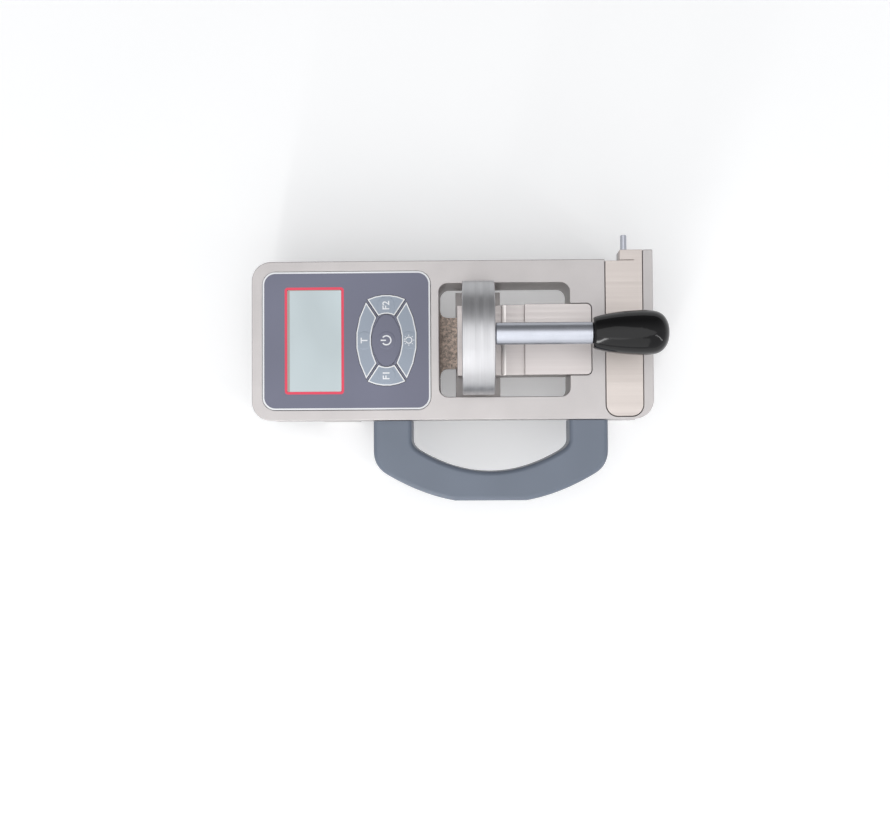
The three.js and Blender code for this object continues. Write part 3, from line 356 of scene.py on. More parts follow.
def make_materials():
    """All finishes of the meter, by their slot in the record, with a few that only the prints need."""
    hues = bpy.context.scene.meter_colours
    own = {key: [*getattr(hues, key), 1] for key in MeterColours.__annotations__}
    return {
        "blasted_aluminium": blasted_aluminium("Blasted anodised aluminium", own["aluminium"]),
        "brushed_aluminium": brushed_metal("Brushed aluminium", own["brushed"], "YZ", rough=(0.32, 0.46)),
        "beam_aluminium": brushed_metal("Fine milled aluminium", own["beam"], "XZ", 0.04, 0.3, (0.42, 0.54)),
        # A paler, smoother aluminium that paints a highlight on the load beam's lower step
        "burnished_aluminium": satin_metal("Aluminium with painted highlight", own["burnished"], 0.3, 0.85),
        "strip_aluminium": brushed_metal("Line ground aluminium", own["strip"], "XZ", 0.05, 0.3, (0.4, 0.52)),
        "satin_steel": satin_metal("Satin plated steel", own["steel"]),
        "dark_steel": satin_metal("Blackened steel", linear("57585A"), 0.38, 0.85),
        "bronze": satin_metal("Sintered bronze", linear("B08A4A"), 0.4),
        "gauge_coat": sealing_coat("Filled silicone coat", own["coat"]),
        "gloss_black": gloss_thermoset("Polished phenolic", own["knob"]),
        "slate_grip": powder_coat("Slate powder coat", own["grip"]),
        "foil_grey": printed_foil("Printed polyester foil", own["foil"]),
        "key_blue": printed_foil("Printed key fill", own["keys"], 0.3),
        "white_print": printed_foil("White screen print", own["prints"], 0.4),
        "signal_print": printed_foil("Signal red screen print", own["signal"], 0.32),
        "black_plastic": moulded_plastic("Moulded black plastic", linear("232326")),
        "circuit_board": solder_mask("Green solder mask", linear("2F6B45")),
        "display_glass": reflective_display("Display cell behind glass", own["display"]),
        # Painted shade of the window's recess round the display cell
        "window_shade": moulded_plastic("Painted shade round the display cell", own["window_shade"], 0.35),
        "cell_sleeve": moulded_plastic("Shrunk cell sleeve", linear("2B5F8A"), 0.2, 2.0, 0.004),
    }


def placed(name, data):
    """A new object that holds the data, linked into the scene."""
    made = bpy.data.objects.new(name, data)
    bpy.context.scene.collection.objects.link(made)
    return made


def meshed(name, bm):
    """A mesh made from a bmesh, which is freed."""
    mesh = bpy.data.meshes.new(name)
    bm.to_mesh(mesh)
    bm.free()
    return mesh


def finished(name, bm, slot, body, replaced=(), extra=(), smooth=35, level=True):
    """Makes a bmesh a piece, with its finishes, the body that it rides on and the nodes that it replaces."""
    mesh = meshed(name, bm)
    for key in (slot, *extra):
        mesh.materials.append(MATERIALS[key])
    mesh.shade_smooth()
    mesh.set_sharp_from_angle(angle=radians(smooth))
    piece = placed(name, mesh)
    if level:
        piece.modifiers.new("Level shading", "WEIGHTED_NORMAL").keep_sharp = True
    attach(piece, body)
    if replaced:
        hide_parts(*replaced)
    return piece


def merged(node, gap=SAME_CORNER):
    """A bmesh copy of a CAD node, with corners closer than the gap and flat neighbouring faces made one."""
    bm = bmesh.new()
    bm.from_mesh(frame["nodes"][node].data)
    bmesh.ops.remove_doubles(bm, verts=bm.verts, dist=gap * MM)
    bmesh.ops.dissolve_limit(bm, angle_limit=radians(SAME_FACE), verts=bm.verts, edges=bm.edges)
    return bm


def cut(bm, axis, place, way=1, **cleared):
    """Cuts a bmesh across an axis and takes away the side that `cleared` names, counted along `way`."""
    spot, normal = Vector((0, 0, 0)), Vector((0, 0, 0))
    spot[axis], normal[axis] = place, way
    bmesh.ops.bisect_plane(bm, geom=[*bm.verts, *bm.edges, *bm.faces], plane_co=spot, plane_no=normal,
                           **cleared)


def bevelled(bm, parts, width, segments, affect="EDGES"):
    """Rounds edges, or the corners of a flat face."""
    bmesh.ops.bevel(bm, geom=parts, offset=width, affect=affect, offset_type="OFFSET", segments=segments,
                    profile=0.5, material=-1, clamp_overlap=False)


def roomy(edge, width):
    """Whether an edge is an outer corner and ends at no shorter edge across it, where a bevel would fold."""
    def heading(side):
        return (side.verts[1].co - side.verts[0].co).normalized()
    # Two edges run across each other where the cosine between them is below this.
    across = 0.7
    return edge.is_convex and not any(
        other.calc_length() < width and abs(heading(other).dot(heading(edge))) < across
        for vert in edge.verts for other in vert.link_edges)


def break_edges(bm, width, where=None):
    """Bevels every sharp edge, or those of them that `where` picks."""
    bm.normal_update()
    sharp = [edge for edge in bm.edges if edge.is_manifold and edge.calc_face_angle(0) > radians(SHARP)
             and (where is None or where(edge))]
    bevelled(bm, sharp, width, 2)


def dress(node, slot, width=0, where=None, gap=SAME_CORNER):
    """Replaces a CAD node by the same shape with broken edges and its finish."""
    bm = merged(node, gap)
    if width:
        break_edges(bm, width, where)
    finished(node + "_body", bm, slot, BODY_OF[node], [node])


def screws(kind, count=4):
    """Dresses the numbered screws of one kind."""
    for number in range(1, count + 1):
        dress(f"{kind}_screw_{number}", "dark_steel", sizes().fine_edge)


def raise_faces(bm, faces, height):
    """Gives flat faces a thickness upwards, as one closed solid."""
    made = bmesh.ops.extrude_face_region(bm, geom=faces, use_keep_orig=True)
    tops = [item for item in made["geom"] if isinstance(item, bmesh.types.BMVert)]
    bmesh.ops.translate(bm, vec=(0, 0, height), verts=tops)
    bmesh.ops.recalc_face_normals(bm, faces=bm.faces)


def low_end(node, axis):
    """The middle of the low end of a node's box along an axis."""
    low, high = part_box(node)
    place = (low + high) / 2
    place[axis] = low[axis]
    return place


def spun(profile, centre, axis, steps=64):
    """A bmesh turned from (along, radius) points round an axis through a centre."""
    bm = bmesh.new()
    along = Vector([1 if at == axis else 0 for at in range(3)])
    side = along.orthogonal().normalized()
    verts = [bm.verts.new(centre + along * reach + side * radius) for reach, radius in profile]
    edges = [bm.edges.new(pair) for pair in zip(verts, verts[1:])]
    bmesh.ops.spin(bm, geom=verts + edges, cent=centre, axis=along, angle=2 * pi, steps=steps, use_merge=True)
    bmesh.ops.remove_doubles(bm, verts=bm.verts, dist=TINY / 10)
    bmesh.ops.recalc_face_normals(bm, faces=bm.faces)
    return bm


def turned(node, axis, chamfer=0.3):
    """A round steel pin turned along its own axis, its ends chamfered over millimetres, for a CAD node."""
    low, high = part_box(node)
    side = (axis + 1) % 3
    radius = (high[side] - low[side]) / 2
    reach = high[axis] - low[axis]
    edge = chamfer * MM
    profile = [(0, 0), (0, radius - edge), (edge, radius),
               (reach - edge, radius), (reach, radius - edge), (reach, 0)]
    bm = spun(profile, low_end(node, axis), axis)
    finished(node + "_body", bm, "satin_steel", BODY_OF[node], [node], smooth=25, level=False)


def smooth_profile(points, steps=6):
    """A curve through (along, radius) points, with a few more points on each stretch."""
    made = []
    for index in range(len(points) - 1):
        before, start = points[max(index - 1, 0)], points[index]
        end, after = points[index + 1], points[min(index + 2, len(points) - 1)]
        for step in range(steps):
            t = step / steps
            made.append(tuple(0.5 * (2 * b + (c - a) * t + (2 * a - 5 * b + 4 * c - d) * t ** 2
                                     + (3 * b - a - 3 * c + d) * t ** 3)
                              for a, b, c, d in zip(before, start, end, after)))
    return made + [points[-1]]


def curved(start, pull, end, steps=12):
    """Points of a curve from start to end that leaves and arrives in line with `pull`."""
    return interpolate_bezier(start, start.lerp(pull, 2 / 3), end.lerp(pull, 2 / 3), end, steps + 1)


class METER_OT_frame(bpy.types.Operator):
    """Builds the milled frame with its inlaid end strip, stop pin and strip screws"""
    bl_idname = "meter.frame"
    bl_label = "Frame and end strip"

    def execute(self, context):
        edge = sizes().frame_edge
        dress("frame", "blasted_aluminium", edge)
        dress("end_strip", "strip_aluminium", edge / 3)
        turned("strap_stop_pin", 1)
        screws("strip", 2)
        return {"FINISHED"}


class METER_OT_keypad(bpy.types.Operator):
    """Builds the printed keypad foil with its border, keys and legends"""
    bl_idname = "meter.keypad"
    bl_label = "Keypad"

    def execute(self, context):
        dress("keypad_foil", "foil_grey")
        # Each line laps over the edge of the foil or of the window, so that no gap shows there.
        lap = 0.2 * MM
        foil_corner, display_corner = 6.7 * MM, 1.6 * MM
        border, line = sizes().border, sizes().display_line
        self.line("foil_border", "keypad_foil", lap, foil_corner, border, "white_print", 16)
        self.line("display_border", "display_lens", line - lap, display_corner, line, "signal_print", 10)
        for node in ("key_tare", "key_lamp", "key_f1", "key_f2", "key_power"):
            self.key(node)
        return {"FINISHED"}

    def line(self, name, node, outside, radius, width, slot, segments):
        """A printed line on the foil, with round corners, whose outer edge lies outside a node's box."""
        low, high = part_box(node)
        extent = [high[axis] - low[axis] + 2 * outside for axis in (0, 1)]
        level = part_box("keypad_foil")[1].z
        bm = bmesh.new()
        corners = bmesh.ops.create_grid(bm, x_segments=1, y_segments=1, size=0.5)["verts"]
        bmesh.ops.scale(bm, vec=(*extent, 1), verts=corners)
        bmesh.ops.translate(bm, vec=((low.x + high.x) / 2, (low.y + high.y) / 2, level), verts=corners)
        bevelled(bm, corners, radius, segments, "VERTICES")
        bm.faces.ensure_lookup_table()
        field = bm.faces[-1]
        ring = bmesh.ops.inset_individual(bm, faces=[field], thickness=width, use_even_offset=True)["faces"]
        bmesh.ops.delete(bm, geom=[field], context="FACES")
        raise_faces(bm, ring, sizes().print_rise)
        finished(name, bm, slot, "root", level=False)

    def key(self, node):
        """A key: the CAD cap with a printed outline let into its top, or the plain power cap, grown."""
        power = node == "key_power"
        bm = merged(node)
        if power:
            low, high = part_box(node)
            thickness = 1 * MM
            grown = [1 + 2 * sizes().power_grow / (high[axis] - low[axis]) for axis in (0, 1)]
            about = Matrix.Translation(-(low + high) / 2)
            cap = [vert for vert in bm.verts if vert.co.z > high.z - thickness]
            bmesh.ops.scale(bm, vec=(*grown, 1), space=about, verts=cap)
        else:
            top = max(bm.faces, key=lambda face: face.calc_center_median().z)
            outline = bmesh.ops.inset_individual(bm, faces=[top], thickness=sizes().key_line,
                                                 use_even_offset=True)
            for face in outline["faces"]:
                face.material_index = 1
        fill = "foil_grey" if power else "key_blue"
        finished(node + "_cap", bm, fill, BODY_OF[node], [node], ["white_print"], level=False)
        self.dome(node, fill)
        self.legend(node)

    def dome(self, node, fill):
        """The shallow round embossing over the snap dome below a key."""
        radius, rise = 4.7 * MM, 0.11 * MM
        shares = [(-0.2, 0), (-0.2, 1), (0, 1), (0.55, 0.97), (0.9, 0.88), (1, 0.7), (0.95, 0.35), (0.9, 0)]
        profile = [(along * rise, across * radius) for along, across in shares]
        bm = spun(profile, self.middle(node), 2, 96)
        if node in NARROW_KEYS:
            self.trim(bm, node)
        finished(node + "_dome", bm, fill, BODY_OF[node], smooth=60, level=False)

    def middle(self, node):
        """The place of a key's legend, on top of the key."""
        low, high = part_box(node)
        place = (low + high) / 2
        if node in NARROW_KEYS:
            axis, sense, _, shift = NARROW_KEYS[node]
            place[axis] += sense * shift * MM
        place.z = high.z
        return place

    def trim(self, bm, node):
        """Cuts an embossing back to the inside of the key's outline, and a little clear of it."""
        axis, sense, depth, _ = NARROW_KEYS[node]
        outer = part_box(node)[1 if sense > 0 else 0][axis]
        margin = sizes().key_line + 0.15 * MM
        cut(bm, axis, outer - sense * margin, sense, clear_outer=True)
        cut(bm, axis, outer - sense * (depth * MM - margin), -sense, clear_outer=True)
        bmesh.ops.holes_fill(bm, edges=bm.edges)

    def legend(self, node):
        """The white legend of a key, just over its dome, which reads towards the far side of the frame."""
        lift = 0.09 * MM
        if node in LETTERS:
            bm = self.letters(LETTERS[node])
        else:
            bm = self.power_sign() if node == "key_power" else self.lamp_sign()
            bmesh.ops.recalc_face_normals(bm, faces=bm.faces)
        bmesh.ops.rotate(bm, cent=(0, 0, 0), matrix=Matrix.Rotation(pi / 2, 3, "Z"), verts=bm.verts)
        bmesh.ops.translate(bm, vec=self.middle(node) + Vector((0, 0, lift)), verts=bm.verts)
        finished(node + "_legend", bm, "white_print", BODY_OF[node], level=False)

    def letters(self, words):
        """Plain sans serif capitals, made a little bolder, centred on the origin and given a thickness."""
        curve = bpy.data.curves.new("legend", "FONT")
        curve.body = words
        curve.size = 5.0 * MM
        curve.offset = 0.09 * MM
        curve.align_x = "CENTER"
        curve.align_y = "CENTER"
        curve.extrude = LEGEND_THICKNESS / 2
        holder = placed("legend", curve)
        bpy.context.view_layer.update()
        bm = bmesh.new()
        bm.from_mesh(holder.to_mesh())
        holder.to_mesh_clear()
        bpy.data.objects.remove(holder)
        return bm

    def stroke(self, bm, start, end, width):
        """A straight printed stroke with square ends between two points given in millimetres."""
        start, end = Vector((*start, 0)) * MM, Vector((*end, 0)) * MM
        made = bmesh.ops.create_cube(bm, size=1)
        along = end - start
        place = Matrix.Translation((start + end) / 2) @ Matrix.Rotation(atan2(along.y, along.x), 4, "Z")
        shape = Matrix.Diagonal((along.length, width * MM, LEGEND_THICKNESS, 1))
        bmesh.ops.transform(bm, matrix=place @ shape, verts=made["verts"])

    def arc(self, bm, radius, width, gap, steps=40):
        """A printed arc of even width, in millimetres, open at the top over `gap` degrees to either side."""
        inner, outer = (radius - width / 2) * MM, (radius + width / 2) * MM
        half = LEGEND_THICKNESS / 2
        corners = [(inner, -half), (outer, -half), (outer, half), (inner, half)]
        turn = Matrix.Rotation(radians(90 + gap), 3, "Z")
        verts = [bm.verts.new(turn @ Vector((reach, 0, height))) for reach, height in corners]
        face = bm.faces.new(verts)
        bmesh.ops.spin(bm, geom=[face, *face.edges, *verts], cent=(0, 0, 0), axis=(0, 0, 1),
                       angle=radians(360 - 2 * gap), steps=steps)

    def power_sign(self):
        """An open ring with a stroke in its gap."""
        bm = bmesh.new()
        width = 0.72
        self.arc(bm, 2.35, width, 38)
        self.stroke(bm, (0, 0.2), (0, 3.0), width)
        return bm

    def lamp_sign(self):
        """A bulb with its neck upwards and rays round it."""
        bm = bmesh.new()
        width, ray_width = 0.5, 0.4
        self.arc(bm, 1.6, width, 20)
        for side in (-1, 1):
            self.stroke(bm, (side * 0.55, 1.35), (side * 0.55, 2.65), width)
        for angle in range(-225, 46, 45):
            heading = Vector((cos(radians(angle)), sin(radians(angle))))
            self.stroke(bm, heading * 2.3, heading * 2.85, ray_width)
        return bm


class METER_OT_display(bpy.types.Operator):
    """Builds the display window and the module behind it"""
    bl_idname = "meter.display"
    bl_label = "Display"

    def execute(self, context):
        self.window()
        dress("display_module", "black_plastic")
        return {"FINISHED"}

    def window(self):
        """The window, with painted shade of its recess as a band at its left and a thin line round it."""
        bm = merged("display_lens")
        low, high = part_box("display_lens")
        rim, band = sizes().window_shade_rim, sizes().window_shade_band
        starts, ends = (low.x + band, low.y + rim), (high.x - rim, high.y - 2 * rim)
        for axis in (0, 1):
            cut(bm, axis, starts[axis])
            cut(bm, axis, ends[axis])
        # Faces round the middle take the painted shade of the window's recess.
        for face in bm.faces:
            middle = face.calc_center_median()
            inside = all(starts[axis] < middle[axis] < ends[axis] for axis in (0, 1))
            face.material_index = 0 if inside else 1
        finished("display_lens_body", bm, "display_glass", "root", ["display_lens"], ["window_shade"],
                 level=False)


class METER_OT_load_beam(bpy.types.Operator):
    """Builds the load beam, its gauge coat and its screws"""
    bl_idname = "meter.load_beam"
    bl_label = "Load beam"

    def execute(self, context):
        self.beam()
        dress("gauge_coat", "gauge_coat")
        screws("beam")
        return {"FINISHED"}

    def beam(self):
        """The beam with its sharp edges broken, two steep steps and a painted highlight along the top of the
        lower one.
        """
        bm = merged("load_beam")
        top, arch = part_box("frame")[1].z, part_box("lever_arch")[1].x
        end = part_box("load_beam")[1].x
        # The corners of the steps lie beyond the arch, short of the beam's end and near its top.
        short, depth = 10 * MM, 6 * MM
        corners = [vert for vert in bm.verts if arch < vert.co.x < end - short and vert.co.z > top - depth]
        places = sorted({round(vert.co.x, 5) for vert in corners})
        # Each ramp is drawn up to a riser at one place, and the lower one's lip sinks under the painted
        # highlight.
        lower, lip, upper = places[0] + 0.35 * MM, places[1], places[2] + 1.3 * MM
        sunk, near = 0.35 * MM, 0.1 * MM
        # The band up to chamfer is a painted highlight: a paler, smoother aluminium on the lower step's top.
        chamfer = lower + sizes().highlight_width
        cut(bm, 0, chamfer)
        for vert in corners:
            if abs(vert.co.x - lip) < near:
                vert.co.z -= sunk
            vert.co.x = lower if vert.co.x < lip + near else upper
        bm.normal_update()
        # Upward faces in that band take the painted highlight.
        for face in bm.faces:
            if lower < face.calc_center_median().x < chamfer and face.normal.z > 0.9:
                face.material_index = 1
        break_edges(bm, sizes().frame_edge / 2)
        finished("load_beam_body", bm, "beam_aluminium", "root", ["load_beam"], ["burnished_aluminium"])


class METER_OT_lever(bpy.types.Operator):
    """Builds the hinged lever: arch, rod, knob, shaft and cam, with the bushes that carry it"""
    bl_idname = "meter.lever"
    bl_label = "Lever"

    def execute(self, context):
        # Corners 0.13 mm apart, left by two crossing outlines, would fold under the wider bevel.
        dress("lever_arch", "brushed_aluminium", sizes().arch_edge, gap=0.2)
        turned("pivot_shaft", 1)
        self.rod()
        self.knob()
        dress("cam", "dark_steel", sizes().fine_edge)
        for node in ("pivot_bush_1", "pivot_bush_2"):
            dress(node, "bronze")
        return {"FINISHED"}

    def rod(self):
        """The rod between arch and knob, with a chamfer at the arch and a collar at the knob."""
        low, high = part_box("lever_rod")
        radius, reach = (high.z - low.z) / 2, high.x - low.x
        # The rod stands clear of the arch and of the knob by these gaps, and thin spigots enter both.
        arch_gap, knob_gap, spigot = 0.25 * MM, 0.15 * MM, 3 * MM
        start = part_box("lever_arch")[1].x + arch_gap - low.x
        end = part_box("lever_knob")[0].x - knob_gap - low.x
        collar, groove, edge = 1.1 * MM, 0.25 * MM, 0.35 * MM
        profile = [(0, 0), (0, spigot), (start, spigot), (start, radius - edge), (start + edge, radius),
                   (end - collar - groove, radius), (end - collar - groove, radius - groove),
                   (end - collar, radius - groove), (end - collar, radius), (end - edge, radius),
                   (end, radius - edge), (end, spigot), (reach, spigot), (reach, 0)]
        bm = spun(profile, low_end("lever_rod", 0), 0, 96)
        finished("lever_rod_body", bm, "satin_steel", "lever", ["lever_rod"], smooth=25, level=False)

    def knob(self):
        """The tapered knob: a curve from neck over belly to the round tip, with a socket for the rod."""
        low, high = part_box("lever_knob")
        reach, belly = high.x - low.x, (high.z - low.z) / 2
        neck, socket, depth = 7.3 * MM, 3.3 * MM, 16 * MM
        # Shares of the reach, with shares of the rise from neck to belly and then of the belly itself
        flank_shares = [(0.02, 0.16), (0.12, 0.42), (0.26, 0.68), (0.42, 0.88), (0.58, 0.98), (0.68, 1)]
        tip_shares = [(0.82, 0.95), (0.91, 0.8), (0.97, 0.53), (0.995, 0.22), (1, 0)]
        curve = [(along * reach, neck + rise * (belly - neck)) for along, rise in flank_shares]
        curve += [(along * reach, rise * belly) for along, rise in tip_shares]
        flank = [(along, min(radius, belly)) for along, radius in smooth_profile(curve)]
        profile = [(depth, 0), (depth, socket), (0, socket), (0, neck), *flank]
        bm = spun(profile, low_end("lever_knob", 0), 0, 128)
        finished("lever_knob_body", bm, "gloss_black", "lever", ["lever_knob"], smooth=50, level=False)


class METER_OT_press(bpy.types.Operator):
    """Builds what the cam pushes down on the strap: plunger, spring, pressure foot and guide pins"""
    bl_idname = "meter.press"
    bl_label = "Plunger and pressure foot"

    def execute(self, context):
        dress("plunger", "satin_steel", sizes().fine_edge)
        dress("return_spring", "satin_steel")
        dress("pressure_foot", "blasted_aluminium", sizes().frame_edge / 2)
        for node in ("guide_pin_1", "guide_pin_2"):
            turned(node, 2)
        return {"FINISHED"}


class METER_OT_hooks(bpy.types.Operator):
    """Builds the two strap hooks, the bars that carry the strap and their screws"""
    bl_idname = "meter.hooks"
    bl_label = "Strap hooks"

    def execute(self, context):
        width, bar_chamfer = sizes().frame_edge, 0.6
        for side in ("left", "right"):
            # Only outer corners are broken: a bevel folds in the screw pockets and in the seat of the bar.
            dress("strap_hook_" + side, "blasted_aluminium", width, where=lambda edge: roomy(edge, width))
            turned("strap_bar_" + side, 1, bar_chamfer)
        screws("hook")
        return {"FINISHED"}


class METER_OT_grip(bpy.types.Operator):
    """Builds the hand grip and its screws"""
    bl_idname = "meter.grip"
    bl_label = "Hand grip"

    def execute(self, context):
        self.loop()
        screws("grip")
        return {"FINISHED"}

    def outline(self, half, edge, bottom):
        """Right half of the loop: its outer side down to the flat, and its inner side down to the arch."""
        top = edge - GRIP_GAP
        inner, flat = half - GRIP["leg"] * MM, GRIP["flat"] * MM
        shoulder = Vector((half, edge - GRIP["shoulder"] * MM))
        corner = Vector((half - GRIP["corner"] * MM, edge - GRIP["slant"] * MM))
        end = Vector((flat, bottom))
        apex = (corner + end) / 2 - Vector((0, GRIP["bulge"] * MM))
        pull = 2 * apex - (corner + end) / 2
        steepness = (pull.y - corner.y) / (pull.x - corner.x)
        knee = Vector((half, corner.y + (half - corner.x) * steepness))
        outer = [Vector((half, top)), *curved(shoulder, knee, corner)[:-1], *curved(corner, pull, end, 20)]
        spring = Vector((inner, edge - GRIP["inner_drop"] * MM))
        crown = Vector((0, edge - GRIP["arch_drop"] * MM))
        # The inner corner runs into the arch at its point number `joined`, and the crown is half way along.
        steps, joined = 40, 2
        arch = curved(spring, 2 * crown - Vector((0, spring.y)), Vector((-inner, spring.y)), steps)
        turn = curved(spring + Vector((0, GRIP["inner_corner"] * MM)), spring, arch[joined], 6)
        return outer, [Vector((inner, top)), *turn, *arch[joined + 1:steps // 2 + 1]]

    def loop(self):
        """The grip: a loop with rounded edges, and the two tongues by which it is screwed into the frame."""
        low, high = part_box("hand_grip")
        edge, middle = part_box("frame")[0].y, (low.x + high.x) / 2
        outer, inner = self.outline((high.x - low.x) / 2, edge, low.y)
        mirrored = [[Vector((-point.x, point.y)) for point in side] for side in (outer, inner)]
        ring = outer + mirrored[0][::-1] + mirrored[1] + inner[-2::-1]
        bm = bmesh.new()
        raise_faces(bm, [bm.faces.new([bm.verts.new((middle + point.x, point.y, low.z)) for point in ring])],
                    high.z - low.z)
        leg_end = edge - GRIP_GAP
        rims = [rim for rim in bm.edges if abs(rim.verts[0].co.z - rim.verts[1].co.z) < TINY
                and min(corner.co.y for corner in rim.verts) < leg_end - TINY]
        bevelled(bm, rims, sizes().grip_edge, 7)
        tongues = merged("hand_grip")
        cut(tongues, 1, leg_end + 2 * TINY, clear_inner=True)
        bmesh.ops.holes_fill(tongues, edges=tongues.edges)
        kept = meshed("grip_tongues", tongues)
        bm.from_mesh(kept)
        bpy.data.meshes.remove(kept)
        finished("hand_grip_body", bm, "slate_grip", "root", ["hand_grip"], smooth=40)


class METER_OT_back(bpy.types.Operator):
    """Builds the rear cover and battery door with what they close: board, contacts and cells"""
    bl_idname = "meter.back"
    bl_label = "Rear cover and electronics"

    def execute(self, context):
        edge = sizes().fine_edge
        dress("rear_cover", "black_plastic", edge)
        dress("battery_door", "black_plastic", edge)
        dress("keypad_carrier", "black_plastic")
        dress("circuit_board", "circuit_board")
        dress("key_domes", "satin_steel")
        dress("data_port", "satin_steel")
        screws("cover")
        for number in (1, 2):
            dress(f"battery_cell_{number}", "cell_sleeve", edge)
            dress(f"battery_contact_{number}", "satin_steel")
        return {"FINISHED"}


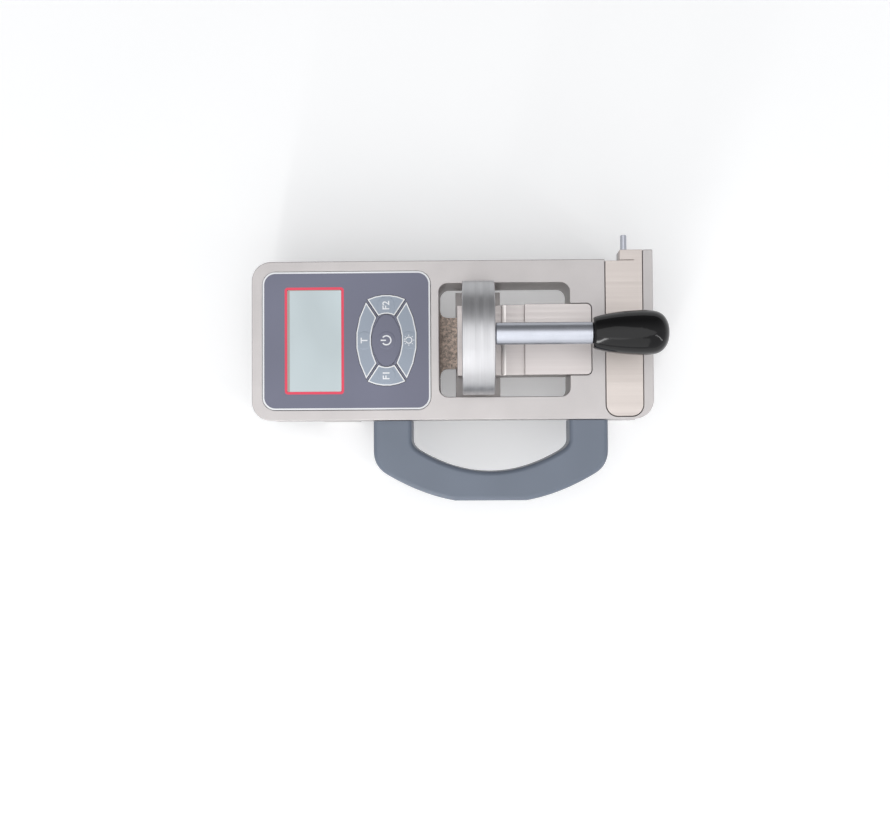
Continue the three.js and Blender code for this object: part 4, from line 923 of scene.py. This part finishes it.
class METER_OT_stage(bpy.types.Operator):
    """Sets the pale floor, the soft lights and the camera at the photograph's angle"""
    bl_idname = "meter.stage"
    bl_label = "Stage"

    def execute(self, context):
        scene = context.scene
        scene.view_settings.view_transform = "Standard"
        self.floor()
        scene.world = self.world()
        for lamp in LAMPS:
            self.lamp(*lamp)
        camera = placed("Camera", bpy.data.cameras.new("Camera"))
        camera.location = CAMERA_PLACE
        camera.rotation_euler = CAMERA_TURN
        camera.data.lens = CAMERA_LENS
        camera.data.sensor_width = 36
        camera.data.clip_start = 0.01
        scene.camera = camera
        return {"FINISHED"}

    def floor(self):
        """A wide sheet of paper at the height on which the meter stands."""
        bm = bmesh.new()
        made = bmesh.ops.create_grid(bm, x_segments=1, y_segments=1, size=3)
        bmesh.ops.translate(bm, vec=(0, 0, FLOOR_LEVEL), verts=made["verts"])
        mesh = meshed("studio_floor", bm)
        mesh.materials.append(self.paper())
        placed("studio_floor", mesh)

    def paper(self):
        """Uncoated matt paper: an even white with the faintest cloud of its fibres and no gloss."""
        material, tree, shader = blank("Matt white paper")
        output = shader.outputs["BSDF"].links[0].to_node
        share = add(tree, "MapRange", inputs={"Value": grain(tree, 1.5), **NOISE_RANGE})
        tone = add(tree, "Mix", {"data_type": "RGBA"},
                   {0: share.outputs["Result"], 6: linear("F4F4F4"), 7: linear("F7F7F7")})
        feed(tree, shader, {"Base Color": tone.outputs[2], "Roughness": 0.9})
        # Where it is seen, directly or in a mirror or a glass, the paper gives off a little light of its own,
        # more so farther out, which turns it white and keeps the shadow.
        place = add(tree, "TexCoord")
        away = add(tree, "VectorMath", {"operation": "LENGTH"}, {0: place.outputs["Object"]})
        glow = add(tree, "MapRange", inputs={"Value": away.outputs["Value"], "From Min": 0.25,
                                             "From Max": 1.6, "To Min": 0.24, "To Max": 0.62})
        own_light = add(tree, "Emission",
                        inputs={"Color": linear("FFFFFF"), "Strength": glow.outputs["Result"]})
        lit = add(tree, "AddShader", inputs={0: shader.outputs["BSDF"], 1: own_light.outputs["Emission"]})
        ray = add(tree, "LightPath").outputs
        sent_on = add(tree, "Math", {"operation": "MAXIMUM"},
                      {0: ray["Is Glossy Ray"], 1: ray["Is Transmission Ray"]})
        seen = add(tree, "Math", {"operation": "MAXIMUM"},
                   {0: ray["Is Camera Ray"], 1: sent_on.outputs["Value"]})
        upper = add(tree, "MixShader", inputs={"Fac": seen.outputs["Value"], 1: shader.outputs["BSDF"],
                                               2: lit.outputs["Shader"]})
        # From below the paper lets the eye through, so that the underside of the meter can be looked at.
        side = add(tree, "NewGeometry")
        clear = add(tree, "BsdfTransparent")
        shown = add(tree, "MixShader", inputs={"Fac": side.outputs["Backfacing"], 1: upper.outputs["Shader"],
                                               2: clear.outputs["BSDF"]})
        feed(tree, output, {"Surface": shown.outputs["Shader"]})
        return material

    def world(self):
        """A white room: metal and gloss mirror it with a dim far side, and the camera sees plain white."""
        world = bpy.data.worlds.new("Studio")
        world.use_nodes = True
        tree = world.node_tree
        tree.nodes.clear()
        heading = add(tree, "TexCoord")
        parts = add(tree, "SeparateXYZ", inputs={"Vector": heading.outputs["Generated"]})
        room = add(tree, "MapRange", inputs={"Value": parts.outputs["Y"], "From Min": 0.1, "From Max": 0.85,
                                             "To Min": 0.95, "To Max": 0.28})
        light = add(tree, "Background", inputs={"Color": linear("F2F4F7"), "Strength": 0.46})
        mirrored = add(tree, "Background",
                       inputs={"Color": linear("FAFAFC"), "Strength": room.outputs["Result"]})
        white = add(tree, "Background", inputs={"Color": linear("FFFFFF"), "Strength": 1.0})
        ray = add(tree, "LightPath").outputs
        glossy = add(tree, "MixShader", inputs={"Fac": ray["Is Glossy Ray"], 1: light.outputs["Background"],
                                                2: mirrored.outputs["Background"]})
        seen = add(tree, "Math", {"operation": "MAXIMUM", "use_clamp": True},
                   {0: ray["Is Camera Ray"], 1: ray["Is Transmission Ray"]})
        shown = add(tree, "MixShader", inputs={"Fac": seen.outputs["Value"], 1: glossy.outputs["Shader"],
                                               2: white.outputs["Background"]})
        add(tree, "OutputWorld", inputs={"Surface": shown.outputs["Shader"]})
        return world

    def lamp(self, name, place, width, height, watts):
        """A rectangular soft light that faces the middle of the meter."""
        light = bpy.data.lights.new(name, "AREA")
        light.shape = "RECTANGLE"
        light.size, light.size_y = width, height
        light.energy = watts
        middle = (Vector(CAD_BOX[0]) + Vector(CAD_BOX[1])) / 2
        lamp = placed(name, light)
        lamp.location = place
        lamp.rotation_euler = (middle - Vector(place)).to_track_quat("-Z", "Y").to_euler()


OPERATORS = (METER_OT_stage, METER_OT_frame, METER_OT_keypad, METER_OT_display, METER_OT_load_beam,
             METER_OT_lever, METER_OT_press, METER_OT_hooks, METER_OT_grip, METER_OT_back)


class METER_PT_panel(bpy.types.Panel):
    """Lists the meter's colours, sizes and building steps"""
    bl_idname = "METER_PT_panel"
    bl_label = "Tension meter"
    bl_space_type = "VIEW_3D"
    bl_region_type = "UI"
    bl_category = "Tension meter"

    def draw(self, context):
        for group in (context.scene.meter_colours, context.scene.meter_sizes):
            column = self.layout.column()
            for key in group.__annotations__:
                column.prop(group, key)
        for operator in OPERATORS:
            self.layout.operator(operator.bl_idname)


CLASSES = (MeterColours, MeterSizes, *OPERATORS, METER_PT_panel)


def register():
    """Registers the classes and hangs the colours and sizes on the scene."""
    for made in CLASSES:
        bpy.utils.register_class(made)
    bpy.types.Scene.meter_colours = bpy.props.PointerProperty(type=MeterColours)
    bpy.types.Scene.meter_sizes = bpy.props.PointerProperty(type=MeterSizes)


def unregister():
    """Takes back what register did."""
    del bpy.types.Scene.meter_sizes
    del bpy.types.Scene.meter_colours
    for made in reversed(CLASSES):
        bpy.utils.unregister_class(made)


def main():
    register()
    MATERIALS.update(make_materials())
    for operator in OPERATORS:
        group, name = operator.bl_idname.split(".")
        getattr(getattr(bpy.ops, group), name)()
    bpy.context.view_layer.update()


if __name__ == "__main__":
    main()
